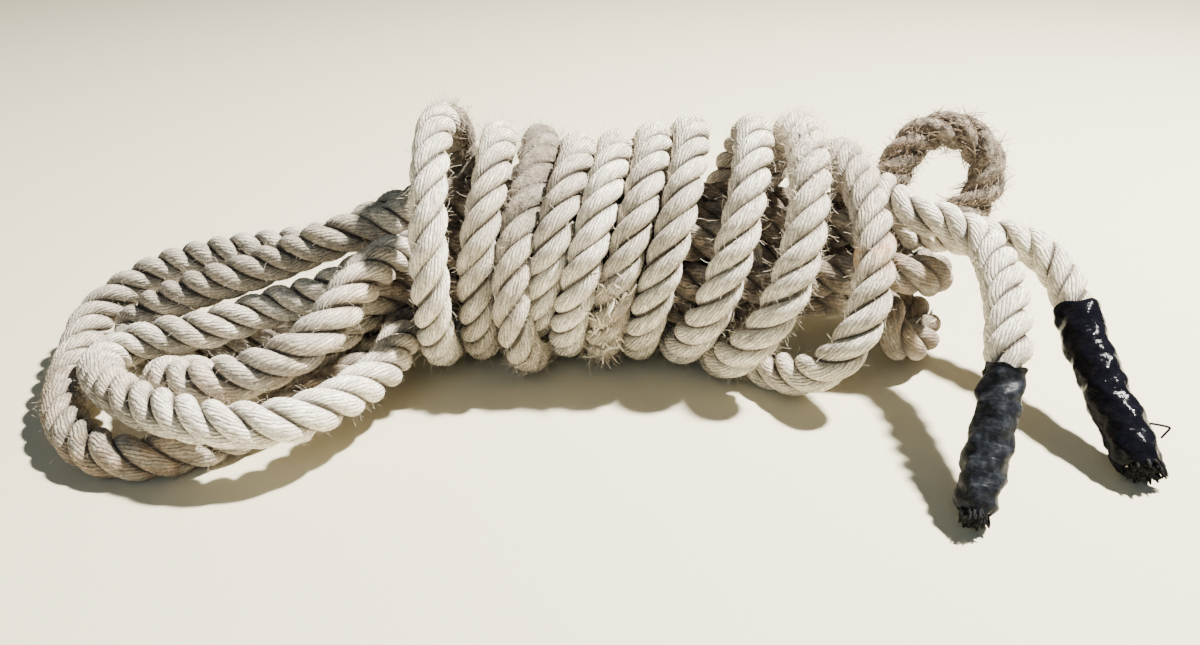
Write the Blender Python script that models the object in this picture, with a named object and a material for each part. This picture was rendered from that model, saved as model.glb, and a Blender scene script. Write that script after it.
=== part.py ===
"""Coiled frayed rope: 50 ft of 1.5 inch three-strand manila, made up as a hank.

Four long bights lie splayed at the left and four short ones stand at the right.
The runs between them are a bundle that the rope's own last ten turns hold.
Both ends leave the bundle at the right, hang down to the surface and are whipped
with black tape. The rope is one piece, so the whole hank is one solid, and only
its two loose ends and their tapes are nodes of their own.

Metres, +Z up, +X to the right along the bundle, -Y towards the front. The object
stands on z = 0 with the middle of its box over the origin.
"""
import math
from collections import namedtuple

import bmesh
import bpy
import numpy as np
from mathutils import Vector

# ---------------------------------------------------------------- driving sizes
ROPE_R = 0.019                 # 38 mm rope
PRESS = 0.0012                 # how far the rope flattens where it rests
CENTRE = (0.0309, 0.0996)      # moves the box's middle over the origin
GAP = 0.0003                   # between pieces that touch

BUNDLE_LEFT = -0.175           # where the bundle's runs spread into the long bights
BUNDLE_RIGHT = 0.262           # where they turn back in the short bights
BUNDLE_Y = -0.012              # the bundle's axis
BUNDLE_Z = (0.116, 0.108)      # its height at the left and at the right
LEG_OUT = 0.053                # the eight outer runs stand this far from the axis
LEG_STATIONS = 5
CORE_LOBES = 8                 # one for each outer run
LOBE_SIDES = 4
VALLEY = 0.62                  # how far past the runs' axes the core reaches between
CREST = 1.0                    # two runs and over one, in rope radii

STEPS_PER_TURN = 16            # stations on each frapping turn
TURN_SPACING = 0.038           # between the sections of the turns' tube
BIGHT_SPACING = 0.032          # and of the bights
END_SPACING = 0.034            # and of the loose ends
TUBE_SIDES = 10

TAPE_LENGTH = {"end_a": 0.116, "end_b": 0.151}    # whipping on each end
TAPE_WALL = 0.0014
TAPE_RINGS = 6
TAPE_EDGE = 0.004              # the rope swells back to full size within this
TAPED_R = {"end_a": 0.0148, "end_b": 0.0166}    # the rope is squeezed under its tape
END_STICKS_OUT = 0.003         # frayed rope past the tape

ROPE_COLOUR = (0.47, 0.39, 0.29, 1.0)
END_COLOUR = (0.53, 0.45, 0.35, 1.0)
TAPE_COLOUR = (0.012, 0.012, 0.014, 1.0)

WELD = 0.00001                 # caps are welded to their tubes within this
SLAB = (1.6, 1.2, 0.1)         # the cutter under the surface that the rope rests on
SHARP_EDGE = 50                # degrees

# ---------------------------------------------------------------- the rope's way
# Runs of the bundle: the angle from the top towards the front at each end, how
# far out they lie there, and where they start at the left and stop at the right.
Leg = namedtuple("Leg", "left_angle right_angle left_out right_out left_x right_x")
LEGS = {
    "top_front": Leg(39, -10, 0.035, 0.016, BUNDLE_LEFT, BUNDLE_RIGHT),
    "top_back": Leg(-39, -62, 0.035, 0.050, BUNDLE_LEFT, BUNDLE_RIGHT),
    "front_high": Leg(80, 60, LEG_OUT, 0.045, BUNDLE_LEFT, 0.090),
    "front_middle": Leg(122, 88, LEG_OUT, LEG_OUT, BUNDLE_LEFT, BUNDLE_RIGHT),
    "front_low": Leg(162, 140, LEG_OUT, LEG_OUT, BUNDLE_LEFT, BUNDLE_RIGHT),
    "low": Leg(206, 190, LEG_OUT, 0.045, BUNDLE_LEFT, 0.090),
    "back_low": Leg(250, 225, LEG_OUT, LEG_OUT, BUNDLE_LEFT, BUNDLE_RIGHT),
    "back_high": Leg(292, 275, LEG_OUT, LEG_OUT, -0.130, BUNDLE_RIGHT),
    "middle": Leg(180, 235, 0.004, 0.028, BUNDLE_LEFT, BUNDLE_RIGHT),
}

# Long bights, from the leg they leave to the leg they come back to.
BACK_BIGHT = [
    (-0.206, -0.036, 0.139), (-0.243, -0.045, 0.129), (-0.285, -0.041, 0.110),
    (-0.321, -0.042, 0.094), (-0.352, -0.041, 0.084), (-0.384, -0.037, 0.073),
    (-0.424, -0.032, 0.053), (-0.446, -0.034, 0.036), (-0.448, -0.048, 0.023),
    (-0.420, -0.054, 0.018), (-0.375, -0.046, 0.018), (-0.320, -0.028, 0.020),
    (-0.260, -0.004, 0.036), (-0.215, 0.020, 0.066)]
FRONT_BIGHT = [
    (-0.184, -0.126, 0.056), (-0.202, -0.183, 0.054), (-0.220, -0.213, 0.054),
    (-0.240, -0.233, 0.055), (-0.267, -0.242, 0.055), (-0.296, -0.242, 0.055),
    (-0.329, -0.230, 0.052), (-0.360, -0.214, 0.050), (-0.384, -0.197, 0.050),
    (-0.402, -0.179, 0.047), (-0.421, -0.157, 0.042), (-0.439, -0.130, 0.037),
    (-0.448, -0.105, 0.033), (-0.443, -0.080, 0.032), (-0.425, -0.068, 0.035),
    (-0.398, -0.066, 0.042), (-0.365, -0.066, 0.050), (-0.333, -0.057, 0.060),
    (-0.298, -0.050, 0.070), (-0.258, -0.056, 0.081), (-0.218, -0.042, 0.095)]
INNER_BIGHT = [
    (-0.226, -0.076, 0.060), (-0.262, -0.092, 0.034), (-0.305, -0.100, 0.020),
    (-0.348, -0.100, 0.018), (-0.376, -0.110, 0.024), (-0.380, -0.135, 0.037),
    (-0.363, -0.157, 0.046), (-0.340, -0.172, 0.052), (-0.314, -0.180, 0.058),
    (-0.288, -0.180, 0.066), (-0.263, -0.176, 0.076), (-0.243, -0.169, 0.086),
    (-0.226, -0.153, 0.098), (-0.214, -0.130, 0.110), (-0.203, -0.106, 0.120)]
OUTER_BIGHT = [
    (-0.200, -0.030, 0.046), (-0.217, -0.078, 0.026), (-0.246, -0.130, 0.019),
    (-0.282, -0.176, 0.019), (-0.319, -0.211, 0.019), (-0.354, -0.230, 0.019),
    (-0.391, -0.229, 0.019), (-0.420, -0.211, 0.019), (-0.447, -0.180, 0.019),
    (-0.464, -0.146, 0.020), (-0.479, -0.100, 0.024), (-0.487, -0.055, 0.032),
    (-0.489, -0.020, 0.041), (-0.474, 0.000, 0.052), (-0.448, 0.013, 0.066),
    (-0.408, 0.016, 0.081), (-0.356, 0.007, 0.096), (-0.303, 0.000, 0.104),
    (-0.240, -0.003, 0.120)]

# Short bights at the right, and the one that stands up in a ring.
LOWER_BIGHT = [
    (0.287, 0.020, 0.052), (0.309, -0.010, 0.038),
    (0.303, -0.048, 0.033), (0.275, -0.068, 0.042)]
UPPER_BIGHT = [
    (0.287, 0.004, 0.096), (0.309, -0.022, 0.100),
    (0.303, -0.055, 0.104), (0.282, -0.068, 0.110)]
SHORT_BIGHT = [(0.122, -0.045, 0.125), (0.135, -0.028, 0.100), (0.122, -0.016, 0.076)]
STANDING_BIGHT = [
    (0.270, 0.042, 0.134), (0.282, 0.068, 0.145), (0.300, 0.083, 0.169),
    (0.320, 0.090, 0.189), (0.346, 0.090, 0.195), (0.369, 0.088, 0.188),
    (0.385, 0.083, 0.171), (0.389, 0.075, 0.150), (0.376, 0.062, 0.128),
    (0.342, 0.050, 0.112), (0.300, 0.043, 0.108)]

# Loose ends. The first runs from its tip into the bundle, the other out of the
# last turn to its tip.
END_B = [
    (0.428, -0.247, 0.016), (0.424, -0.220, 0.030), (0.418, -0.185, 0.051),
    (0.413, -0.140, 0.078), (0.411, -0.100, 0.103), (0.401, -0.060, 0.122),
    (0.376, -0.026, 0.125), (0.343, -0.004, 0.117), (0.305, 0.002, 0.112)]
END_A_ROOT = [
    (0.190, 0.070, 0.060), (0.222, 0.080, 0.100), (0.243, 0.054, 0.138),
    (0.259, 0.010, 0.153)]
END_A = [
    (0.276, -0.036, 0.150), (0.311, -0.060, 0.151), (0.332, -0.093, 0.145),
    (0.332, -0.130, 0.138), (0.328, -0.163, 0.129), (0.318, -0.208, 0.108),
    (0.307, -0.237, 0.080), (0.294, -0.264, 0.052), (0.283, -0.286, 0.029),
    (0.275, -0.304, 0.0145)]

# Where the last run leaves the bundle and comes up into the first turn.
WINDING_START = [(-0.138, 0.062, 0.138), (-0.137, 0.074, 0.170), (-0.139, 0.052, 0.207)]

# The frapping turns, left to right. Each comes up the back, goes over the top, down
# the front and under: x halfway up the back, at the top, front and underside, half
# the turn's depth, the rope's height at the top and at the underside, how far the
# turn's top leans back, how far the whole turn lies back, and how thick the rope is.
Turn = namedtuple("Turn", "rise_x top_x front_x under_x reach top_z under_z lean back girth")
TURNS = [
    Turn(-0.137, -0.144, -0.1435, -0.143, 0.106, 0.231, 0.0165, 0.000, -0.020, 0.89),
    Turn(-0.115, -0.091, -0.101, -0.112, 0.095, 0.210, 0.0165, 0.000, 0.000, 0.89),
    Turn(-0.085, -0.052, -0.073, -0.047, 0.098, 0.195, 0.0165, 0.038, 0.000, 0.91),
    Turn(-0.045, -0.019, -0.047, -0.052, 0.084, 0.199, 0.046, -0.016, 0.004, 0.90),
    Turn(-0.010, 0.013, -0.024, -0.028, 0.095, 0.200, 0.0165, 0.000, 0.000, 0.90),
    Turn(0.022, 0.050, 0.012, 0.005, 0.095, 0.207, 0.0165, 0.004, 0.000, 0.90),
    Turn(0.056, 0.083, 0.047, 0.041, 0.097, 0.213, 0.0165, 0.006, 0.000, 0.90),
    Turn(0.138, 0.1445, 0.110, 0.080, 0.096, 0.211, 0.0175, 0.004, 0.000, 0.96),
    Turn(0.142, 0.183, 0.162, 0.112, 0.102, 0.212, 0.0185, 0.024, -0.010, 1.01),
    Turn(0.205, 0.248, 0.229, 0.142, 0.102, 0.169, 0.0185, 0.049, -0.022, 0.98)]

# How thick the rope is in each section, next to its full size, where that differs:
# it is pulled thin where it is wound tight. The thickness at either end of it.
GIRTH = {"end_b": (0.98, 0.96), "winding_start": (0.89, 0.89),
         "end_a_root": (0.95, 0.90), "end_a": (0.89, 1.10)}

BIGHTS = ("back_bight", "inner_bight", "front_bight", "outer_bight",
          "upper_bight", "lower_bight", "standing_bight")


def cubic_through(at, values, where):
    """Values at `where` of the natural cubic that passes through values at `at`."""
    at = np.asarray(at, float)
    values = np.asarray(values, float).reshape(len(at), -1)
    gaps = np.diff(at)
    count = len(at)
    matrix = np.eye(count)
    slope_change = np.zeros_like(values)
    for i in range(1, count - 1):
        matrix[i, i - 1:i + 2] = gaps[i - 1], 2 * (gaps[i - 1] + gaps[i]), gaps[i]
        rise = (values[i + 1] - values[i]) / gaps[i]
        slope_change[i] = 6 * (rise - (values[i] - values[i - 1]) / gaps[i - 1])
    bend = np.linalg.solve(matrix, slope_change)
    left = np.clip(np.searchsorted(at, where, side="right") - 1, 0, count - 2)
    gap = gaps[left][:, None]
    ahead = (at[left + 1] - where)[:, None]
    behind = (where - at[left])[:, None]
    arcs = (bend[left] * ahead**3 + bend[left + 1] * behind**3) / (6 * gap)
    start = (values[left] / gap - bend[left] * gap / 6) * ahead
    return arcs + start + (values[left + 1] / gap - bend[left + 1] * gap / 6) * behind


def leg_stations(name, rightward):
    """Stations of one run of the bundle."""
    leg = LEGS[name]
    stations = []
    for i in range(LEG_STATIONS):
        t = i / (LEG_STATIONS - 1)
        x = leg.left_x + (leg.right_x - leg.left_x) * t
        angle = math.radians(leg.left_angle + (leg.right_angle - leg.left_angle) * t)
        out = leg.left_out + (leg.right_out - leg.left_out) * t
        z = BUNDLE_Z[0] + (BUNDLE_Z[1] - BUNDLE_Z[0]) * t
        stations.append((x, BUNDLE_Y - out * math.sin(angle), z + out * math.cos(angle)))
    return stations if rightward else stations[::-1]


def turn_stations():
    """Stations of the frapping turns, from the first top to the last underside."""
    turns = np.arange(len(TURNS)) * 4
    quarters = np.linspace(0, turns[-1] + 2, (len(TURNS) * 4 - 2) * STEPS_PER_TURN // 4 + 1)

    def along(field, quarter):
        return np.interp(quarters, turns + quarter, [getattr(turn, field) for turn in TURNS])

    at = [i + quarter for i in turns for quarter in (-1, 0, 1, 2)]
    x_keys = [x for turn in TURNS for x in turn[:4]]
    angle = quarters * math.pi / 2
    top, under = along("top_z", 0), along("under_z", 2)
    x = cubic_through(at, x_keys, quarters)[:, 0]
    y = (along("back", 1) + along("lean", 1) * np.cos(angle)
         - along("reach", 1) * np.sin(angle))
    z = (top + under) / 2 + (top - under) / 2 * np.cos(angle)
    return [tuple(point) for point in np.stack([x, y, z], 1)]


def girths(name, points):
    """How thick the rope is at each station of a section."""
    if name == "turns":
        at = np.arange(len(points)) / STEPS_PER_TURN
        return np.interp(at, np.arange(len(TURNS)), [turn.girth for turn in TURNS])
    return np.linspace(*GIRTH.get(name, (1.0, 1.0)), len(points))


def rope_sections():
    """The rope from one tip to the other, as named sections of stations."""
    return [
        ("end_b", END_B),
        ("leg", leg_stations("top_front", False)),
        ("back_bight", BACK_BIGHT),
        ("leg", leg_stations("back_low", True)),
        ("lower_bight", LOWER_BIGHT),
        ("leg", leg_stations("front_low", False)),
        ("front_bight", FRONT_BIGHT),
        ("leg", leg_stations("middle", True)),
        ("upper_bight", UPPER_BIGHT),
        ("leg", leg_stations("front_middle", False)),
        ("inner_bight", INNER_BIGHT),
        ("leg", leg_stations("front_high", True)),
        ("short_bight", SHORT_BIGHT),
        ("leg", leg_stations("low", False)),
        ("outer_bight", OUTER_BIGHT),
        ("leg", leg_stations("top_back", True)),
        ("standing_bight", STANDING_BIGHT),
        ("leg", leg_stations("back_high", False)),
        ("winding_start", WINDING_START),
        ("turns", turn_stations()),
        ("end_a_root", END_A_ROOT),
        ("end_a", END_A),
    ]


class Rope:
    """The whole rope as one smooth curve, cut into its sections on request."""

    FINE = 0.001

    def __init__(self):
        stations = []
        girth = []
        self.spans = {}
        for name, points in rope_sections():
            self.spans[name] = (len(stations), len(stations) + len(points) - 1)
            stations.extend(points)
            girth.extend(girths(name, points))
        stations = np.array(stations)
        stations[:, :2] += CENTRE
        stations[:, 2] -= PRESS
        chords = np.linalg.norm(np.diff(stations, axis=0), axis=1)
        knots = np.concatenate([[0], np.cumsum(chords**0.75)])
        count = int(chords.sum() / self.FINE)
        fine_at = np.linspace(0, knots[-1], count)
        self.points = cubic_through(knots, stations, fine_at)
        steps = np.linalg.norm(np.diff(self.points, axis=0), axis=1)
        self.arc = np.concatenate([[0], np.cumsum(steps)])
        self.station_arc = np.interp(knots, fine_at, self.arc)
        self.length = self.arc[-1]
        self.radius = ROPE_R * np.interp(self.arc, self.station_arc, girth)

    def at(self, where):
        """Points at these lengths along the rope."""
        return np.stack([np.interp(where, self.arc, self.points[:, k]) for k in range(3)], 1)

    def radius_at(self, where):
        return np.interp(where, self.arc, self.radius)

    def free_length(self, end):
        """How far a loose end reaches from its tip to the hank."""
        first, last = self.spans[end]
        if end == "end_b":
            return self.station_arc[last] - GAP
        return self.length - self.station_arc[first] - GAP

    def from_tip(self, end, lengths):
        """Lengths along the rope of places this far from the tip of a loose end."""
        where = np.asarray(lengths)
        return self.length - where if end == "end_a" else where

    def span(self, name, before=0, after=0):
        """Lengths along the rope at which a section starts and stops."""
        first, last = self.spans[name]
        return self.station_arc[first - before], self.station_arc[last + after]


# ---------------------------------------------------------------- making shapes
def clear_scene():
    for obj in list(bpy.data.objects):
        bpy.data.objects.remove(obj, do_unlink=True)


def new_collection(name):
    collection = bpy.data.collections.new(name)
    bpy.context.scene.collection.children.link(collection)
    return collection


def material(name, colour, roughness):
    made = bpy.data.materials.new(name)
    made.use_nodes = True
    shader = made.node_tree.nodes["Principled BSDF"]
    shader.inputs["Base Color"].default_value = colour
    shader.inputs["Roughness"].default_value = roughness
    shader.inputs["Metallic"].default_value = 0.0
    made.diffuse_color = colour
    return made


def mesh_of(curve_object, collection):
    """Replace a curve object with a mesh object whose caps are welded on."""
    graph = bpy.context.evaluated_depsgraph_get()
    mesh = bpy.data.meshes.new_from_object(curve_object.evaluated_get(graph))
    name = curve_object.name
    matrix = curve_object.matrix_world.copy()
    curve = curve_object.data
    bpy.data.objects.remove(curve_object)
    bpy.data.curves.remove(curve)
    shape = bmesh.new()
    shape.from_mesh(mesh)
    bmesh.ops.remove_doubles(shape, verts=shape.verts, dist=WELD)
    bmesh.ops.recalc_face_normals(shape, faces=shape.faces)
    shape.to_mesh(mesh)
    shape.free()
    made = bpy.data.objects.new(name, mesh)
    made.matrix_world = matrix
    collection.objects.link(made)
    return made


def tube(name, points, radius, collection):
    """A round tube along the points, with filled ends, as a mesh.

    The radius is one number, or one for each point."""
    radii = np.broadcast_to(radius, len(points))
    curve = bpy.data.curves.new(name, "CURVE")
    curve.dimensions = "3D"
    curve.bevel_depth = radii[0]
    curve.bevel_resolution = (TUBE_SIDES - 4) // 2
    curve.use_fill_caps = True
    spline = curve.splines.new("POLY")
    spline.points.add(len(points) - 1)
    for point, place, size in zip(spline.points, points, radii):
        point.co = (*place, 1.0)
        point.radius = size / radii[0]
    made = bpy.data.objects.new(name, curve)
    collection.objects.link(made)
    bpy.context.view_layer.update()
    return mesh_of(made, collection)


def bundle_core(collection):
    """The bundle's runs as one lobed bar, which the turns are wound round."""
    sides = CORE_LOBES * LOBE_SIDES
    valley = LEG_OUT + VALLEY * ROPE_R
    swell = (CREST - VALLEY) * ROPE_R
    curve = bpy.data.curves.new("bundle_core", "CURVE")
    curve.dimensions = "2D"
    curve.fill_mode = "BOTH"
    curve.extrude = (BUNDLE_RIGHT - BUNDLE_LEFT) / 2
    spline = curve.splines.new("POLY")
    spline.points.add(sides - 1)
    for i in range(sides):
        angle = (i + 0.5) * math.tau / sides
        out = valley + swell * abs(math.sin(angle * CORE_LOBES / 2))
        spline.points[i].co = (out * math.cos(angle), out * math.sin(angle), 0.0, 1.0)
    spline.use_cyclic_u = True
    core = bpy.data.objects.new("bundle_core", curve)
    middle = Vector(((BUNDLE_LEFT + BUNDLE_RIGHT) / 2 + CENTRE[0], BUNDLE_Y + CENTRE[1],
                     sum(BUNDLE_Z) / 2 - PRESS))
    slope = Vector((BUNDLE_RIGHT - BUNDLE_LEFT, 0, BUNDLE_Z[1] - BUNDLE_Z[0]))
    core.location = middle
    core.rotation_mode = "QUATERNION"
    core.rotation_quaternion = slope.to_track_quat("Z", "Y")
    collection.objects.link(core)
    bpy.context.view_layer.update()
    return mesh_of(core, collection)


def floor_cutter(collection):
    """A slab whose top is the surface that the rope rests on."""
    mesh = bpy.data.meshes.new("floor_cutter")
    shape = bmesh.new()
    bmesh.ops.create_cube(shape, size=1.0)
    bmesh.ops.scale(shape, vec=SLAB, verts=shape.verts)
    bmesh.ops.translate(shape, vec=(0, 0, -SLAB[2] / 2), verts=shape.verts)
    shape.to_mesh(mesh)
    shape.free()
    made = bpy.data.objects.new("floor_cutter", mesh)
    collection.objects.link(made)
    return made


def as_cutter(obj):
    obj.hide_render = True
    obj.display_type = "WIRE"
    return obj


def join_or_cut(target, other, operation, self_crossing=False):
    """Apply one Boolean to the target's mesh now."""
    step = target.modifiers.new(operation.lower(), "BOOLEAN")
    step.operation = operation
    step.solver = "EXACT"
    step.use_self = self_crossing
    step.object = other
    graph = bpy.context.evaluated_depsgraph_get()
    mesh = bpy.data.meshes.new_from_object(target.evaluated_get(graph))
    target.modifiers.clear()
    target.data = mesh


def islands(shape):
    """The mesh's separate shells, each a list of faces."""
    left = set(shape.faces)
    shells = []
    while left:
        shell = []
        front = [left.pop()]
        while front:
            face = front.pop()
            shell.append(face)
            for edge in face.edges:
                for other in edge.link_faces:
                    if other in left:
                        left.remove(other)
                        front.append(other)
        shells.append(shell)
    return shells


def fill_voids(obj):
    """Keep only the outer shell, so that no void is closed in between the turns."""
    shape = bmesh.new()
    shape.from_mesh(obj.data)
    shells = sorted(islands(shape), key=len)
    inner = [face for shell in shells[:-1] for face in shell]
    bmesh.ops.delete(shape, geom=inner, context="FACES")
    shape.to_mesh(obj.data)
    shape.free()


def finish(obj, look):
    obj.data.materials.clear()
    obj.data.materials.append(look)
    obj.data.shade_smooth()
    obj.data.set_sharp_from_angle(angle=math.radians(SHARP_EDGE))


# ---------------------------------------------------------------- the pieces
def make_hank(rope, collection, cutters):
    """Bundle, turns and bights, joined into the one piece that they are."""
    hank = bundle_core(collection)
    hank.name = "hank"
    stretches = [(*rope.span(name, before=1, after=1), BIGHT_SPACING) for name in BIGHTS]
    winding_from, _ = rope.span("winding_start", before=1)
    _, winding_to = rope.span("end_a_root")
    stretches.append((winding_from, winding_to, TURN_SPACING))
    last = rope.spans["end_b"][1]
    stretches.append((rope.station_arc[last], rope.station_arc[last + 2], TURN_SPACING))
    for start, stop, spacing in stretches:
        where = np.linspace(start, stop, round((stop - start) / spacing) + 1)
        piece = tube("stretch", rope.at(where), rope.radius_at(where), cutters)
        join_or_cut(hank, piece, "UNION", self_crossing=True)
        bpy.data.objects.remove(piece)
    return hank


def end_rings(rope, name):
    """Lengths along the rope for an end's rings, and the rope's radius at each."""
    taped_to = END_STICKS_OUT + TAPE_LENGTH[name]
    taped = [0.0, *np.linspace(END_STICKS_OUT, taped_to, TAPE_RINGS), taped_to + TAPE_EDGE]
    free = np.arange(rope.free_length(name), taped_to + END_SPACING / 2, -END_SPACING)[::-1]
    where = rope.from_tip(name, [*taped, *free])
    radii = rope.radius_at(where)
    radii[:len(taped)] = TAPED_R[name]
    return where, radii


def make_end(rope, name, collection):
    """A loose end from its tip to the bundle, squeezed where the tape holds it."""
    where, radii = end_rings(rope, name)
    return tube(name, rope.at(where), radii, collection)


def make_tape(rope, name, end, collection, cutters):
    """The tape wound over a loose end: a sleeve that the rope runs through."""
    rings = np.linspace(END_STICKS_OUT, END_STICKS_OUT + TAPE_LENGTH[end], TAPE_RINGS)
    bore_r = (TAPED_R[end] + GAP) / math.cos(math.pi / TUBE_SIDES)
    tape = tube(name, rope.at(rope.from_tip(end, rings)), bore_r + TAPE_WALL, collection)
    past = [rings[0] - TAPE_EDGE, *rings, rings[-1] + TAPE_EDGE]
    bore = tube("bore", rope.at(rope.from_tip(end, past)), bore_r, cutters)
    join_or_cut(tape, bore, "DIFFERENCE")
    bpy.data.objects.remove(bore)
    return tape


def main():
    clear_scene()
    collection = new_collection("coiled_frayed_rope")
    cutters = new_collection("cutters")
    rope = Rope()
    floor = floor_cutter(cutters)
    end_look = material("rope_end", END_COLOUR, 0.9)
    tape_look = material("black_tape", TAPE_COLOUR, 0.25)

    hank = make_hank(rope, collection, cutters)
    join_or_cut(hank, floor, "DIFFERENCE")
    for side in ("a", "b"):
        end = make_end(rope, f"end_{side}", collection)
        tape = make_tape(rope, f"tape_{side}", end.name, collection, cutters)
        where, _ = end_rings(rope, end.name)
        room = tube("room", rope.at(where), rope.radius_at(where) + 2 * GAP, cutters)
        join_or_cut(hank, room, "DIFFERENCE")
        bpy.data.objects.remove(room)
        for piece, look in ((end, end_look), (tape, tape_look)):
            join_or_cut(piece, floor, "DIFFERENCE")
            finish(piece, look)
    fill_voids(hank)
    as_cutter(floor)
    finish(hank, material("rope", ROPE_COLOUR, 0.9))


main()
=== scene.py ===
"""Coiled frayed rope: a hank of thick laid manila, lying on a pale floor.

The rope is laid along one curve from tip to tip, so every stretch of it is made
the same way: three strands, their yarns, the wear on them and the fibres that
have come loose. Metres, +Z up, the camera looks along +Y.
"""
import math
from collections import namedtuple

import bmesh
import bpy
import numpy as np
from mathutils import Euler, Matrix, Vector


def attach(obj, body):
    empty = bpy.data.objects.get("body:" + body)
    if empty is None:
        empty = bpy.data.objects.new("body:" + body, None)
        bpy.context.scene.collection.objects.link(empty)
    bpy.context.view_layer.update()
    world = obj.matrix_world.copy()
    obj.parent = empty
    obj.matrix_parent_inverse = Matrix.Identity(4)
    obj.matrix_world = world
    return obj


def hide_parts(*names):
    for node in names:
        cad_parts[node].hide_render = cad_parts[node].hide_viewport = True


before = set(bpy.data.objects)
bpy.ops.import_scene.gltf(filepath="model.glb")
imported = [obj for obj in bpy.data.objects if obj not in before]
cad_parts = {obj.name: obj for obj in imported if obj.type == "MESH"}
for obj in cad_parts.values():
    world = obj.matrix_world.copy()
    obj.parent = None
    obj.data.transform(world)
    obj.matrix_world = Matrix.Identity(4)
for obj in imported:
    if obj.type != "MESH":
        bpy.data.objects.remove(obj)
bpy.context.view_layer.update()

# ------------------------------------------------------------------ view and light
# A camera a little above the hank, a wide pale floor, one clear light from the
# right and above, a soft one from the front and a pale room.
CAMERA_AT = (0.0309, -0.8254, 0.4838)
CAMERA_DOWN = 26.5             # degrees below level
CAMERA_LENS = 31.17
KEY_FROM = (0.60, 0.15, 1.0)
KEY_DISTANCE = 3.0
FLOOR_SIZE = 40.0

camera_data = bpy.data.cameras.new("camera")
camera_data.lens = CAMERA_LENS
camera_data.sensor_width = 36.0
camera_data.clip_start = 0.02
camera = bpy.data.objects.new("camera", camera_data)
camera.location = CAMERA_AT
camera.rotation_euler = Euler((math.radians(90 - CAMERA_DOWN), 0, 0))
bpy.context.scene.collection.objects.link(camera)
bpy.context.scene.camera = camera


def area_light(name, direction, distance, size, watts, colour):
    """A square light that looks at the hank from this direction."""
    data = bpy.data.lights.new(name, "AREA")
    data.size = size
    data.energy = watts
    data.color = colour
    light = bpy.data.objects.new(name, data)
    towards = Vector(direction).normalized()
    light.location = towards * distance
    light.rotation_mode = "QUATERNION"
    light.rotation_quaternion = towards.to_track_quat("Z", "Y")
    bpy.context.scene.collection.objects.link(light)


area_light("key", KEY_FROM, KEY_DISTANCE, 0.18, 600, (1.0, 0.965, 0.885))
area_light("front_fill", (-0.25, -1.0, 0.75), 2.6, 1.6, 13, (0.58, 0.79, 1.0))

world = bpy.data.worlds.new("room")
world.use_nodes = True
room = world.node_tree.nodes["Background"]
room.inputs["Color"].default_value = (0.90, 0.97, 1.0, 1.0)
room.inputs["Strength"].default_value = 0.088
bpy.context.scene.world = world


# ------------------------------------------------------------------ loose end B
# The rope starts at this tip: three strands laid to the right, of many coarse yarns.
# It drapes down to the floor from behind the last turn, where it leaves the bundle.
ROPE_R = 0.019
PRESS = 0.0012
CENTRE = (0.0309, 0.0996)
GAP = 0.0003
TAPE_LENGTH = {"end_a": 0.116, "end_b": 0.151}
TAPE_WALL = 0.0014
TAPED_R = {"end_a": 0.0148, "end_b": 0.0166}    # the rope is squeezed under its tape
END_STICKS_OUT = 0.003
BUNDLE_LEFT = -0.175
BUNDLE_RIGHT = 0.262
BUNDLE_Y = -0.012
BUNDLE_Z = (0.116, 0.108)
LEG_OUT = 0.053
LEG_STATIONS = 5
STEPS_PER_TURN = 16

# Runs of the bundle: the angle from the top towards the front at each end, how
# far out they lie there, and where they start at the left and stop at the right.
Leg = namedtuple("Leg", "left_angle right_angle left_out right_out left_x right_x")
LEGS = {
    "top_front": Leg(39, -10, 0.035, 0.016, BUNDLE_LEFT, BUNDLE_RIGHT),
    "top_back": Leg(-39, -62, 0.035, 0.050, BUNDLE_LEFT, BUNDLE_RIGHT),
    "front_high": Leg(80, 60, LEG_OUT, 0.045, BUNDLE_LEFT, 0.090),
    "front_middle": Leg(122, 88, LEG_OUT, LEG_OUT, BUNDLE_LEFT, BUNDLE_RIGHT),
    "front_low": Leg(162, 140, LEG_OUT, LEG_OUT, BUNDLE_LEFT, BUNDLE_RIGHT),
    "low": Leg(206, 190, LEG_OUT, 0.045, BUNDLE_LEFT, 0.090),
    "back_low": Leg(250, 225, LEG_OUT, LEG_OUT, BUNDLE_LEFT, BUNDLE_RIGHT),
    "back_high": Leg(292, 275, LEG_OUT, LEG_OUT, -0.130, BUNDLE_RIGHT),
    "middle": Leg(180, 235, 0.004, 0.028, BUNDLE_LEFT, BUNDLE_RIGHT),
}

# Long bights, from the leg they leave to the leg they come back to.
BACK_BIGHT = [
    (-0.206, -0.036, 0.139), (-0.243, -0.045, 0.129), (-0.285, -0.041, 0.110),
    (-0.321, -0.042, 0.094), (-0.352, -0.041, 0.084), (-0.384, -0.037, 0.073),
    (-0.424, -0.032, 0.053), (-0.446, -0.034, 0.036), (-0.448, -0.048, 0.023),
    (-0.420, -0.054, 0.018), (-0.375, -0.046, 0.018), (-0.320, -0.028, 0.020),
    (-0.260, -0.004, 0.036), (-0.215, 0.020, 0.066)]
FRONT_BIGHT = [
    (-0.184, -0.126, 0.056), (-0.202, -0.183, 0.054), (-0.220, -0.213, 0.054),
    (-0.240, -0.233, 0.055), (-0.267, -0.242, 0.055), (-0.296, -0.242, 0.055),
    (-0.329, -0.230, 0.052), (-0.360, -0.214, 0.050), (-0.384, -0.197, 0.050),
    (-0.402, -0.179, 0.047), (-0.421, -0.157, 0.042), (-0.439, -0.130, 0.037),
    (-0.448, -0.105, 0.033), (-0.443, -0.080, 0.032), (-0.425, -0.068, 0.035),
    (-0.398, -0.066, 0.042), (-0.365, -0.066, 0.050), (-0.333, -0.057, 0.060),
    (-0.298, -0.050, 0.070), (-0.258, -0.056, 0.081), (-0.218, -0.042, 0.095)]
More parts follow.
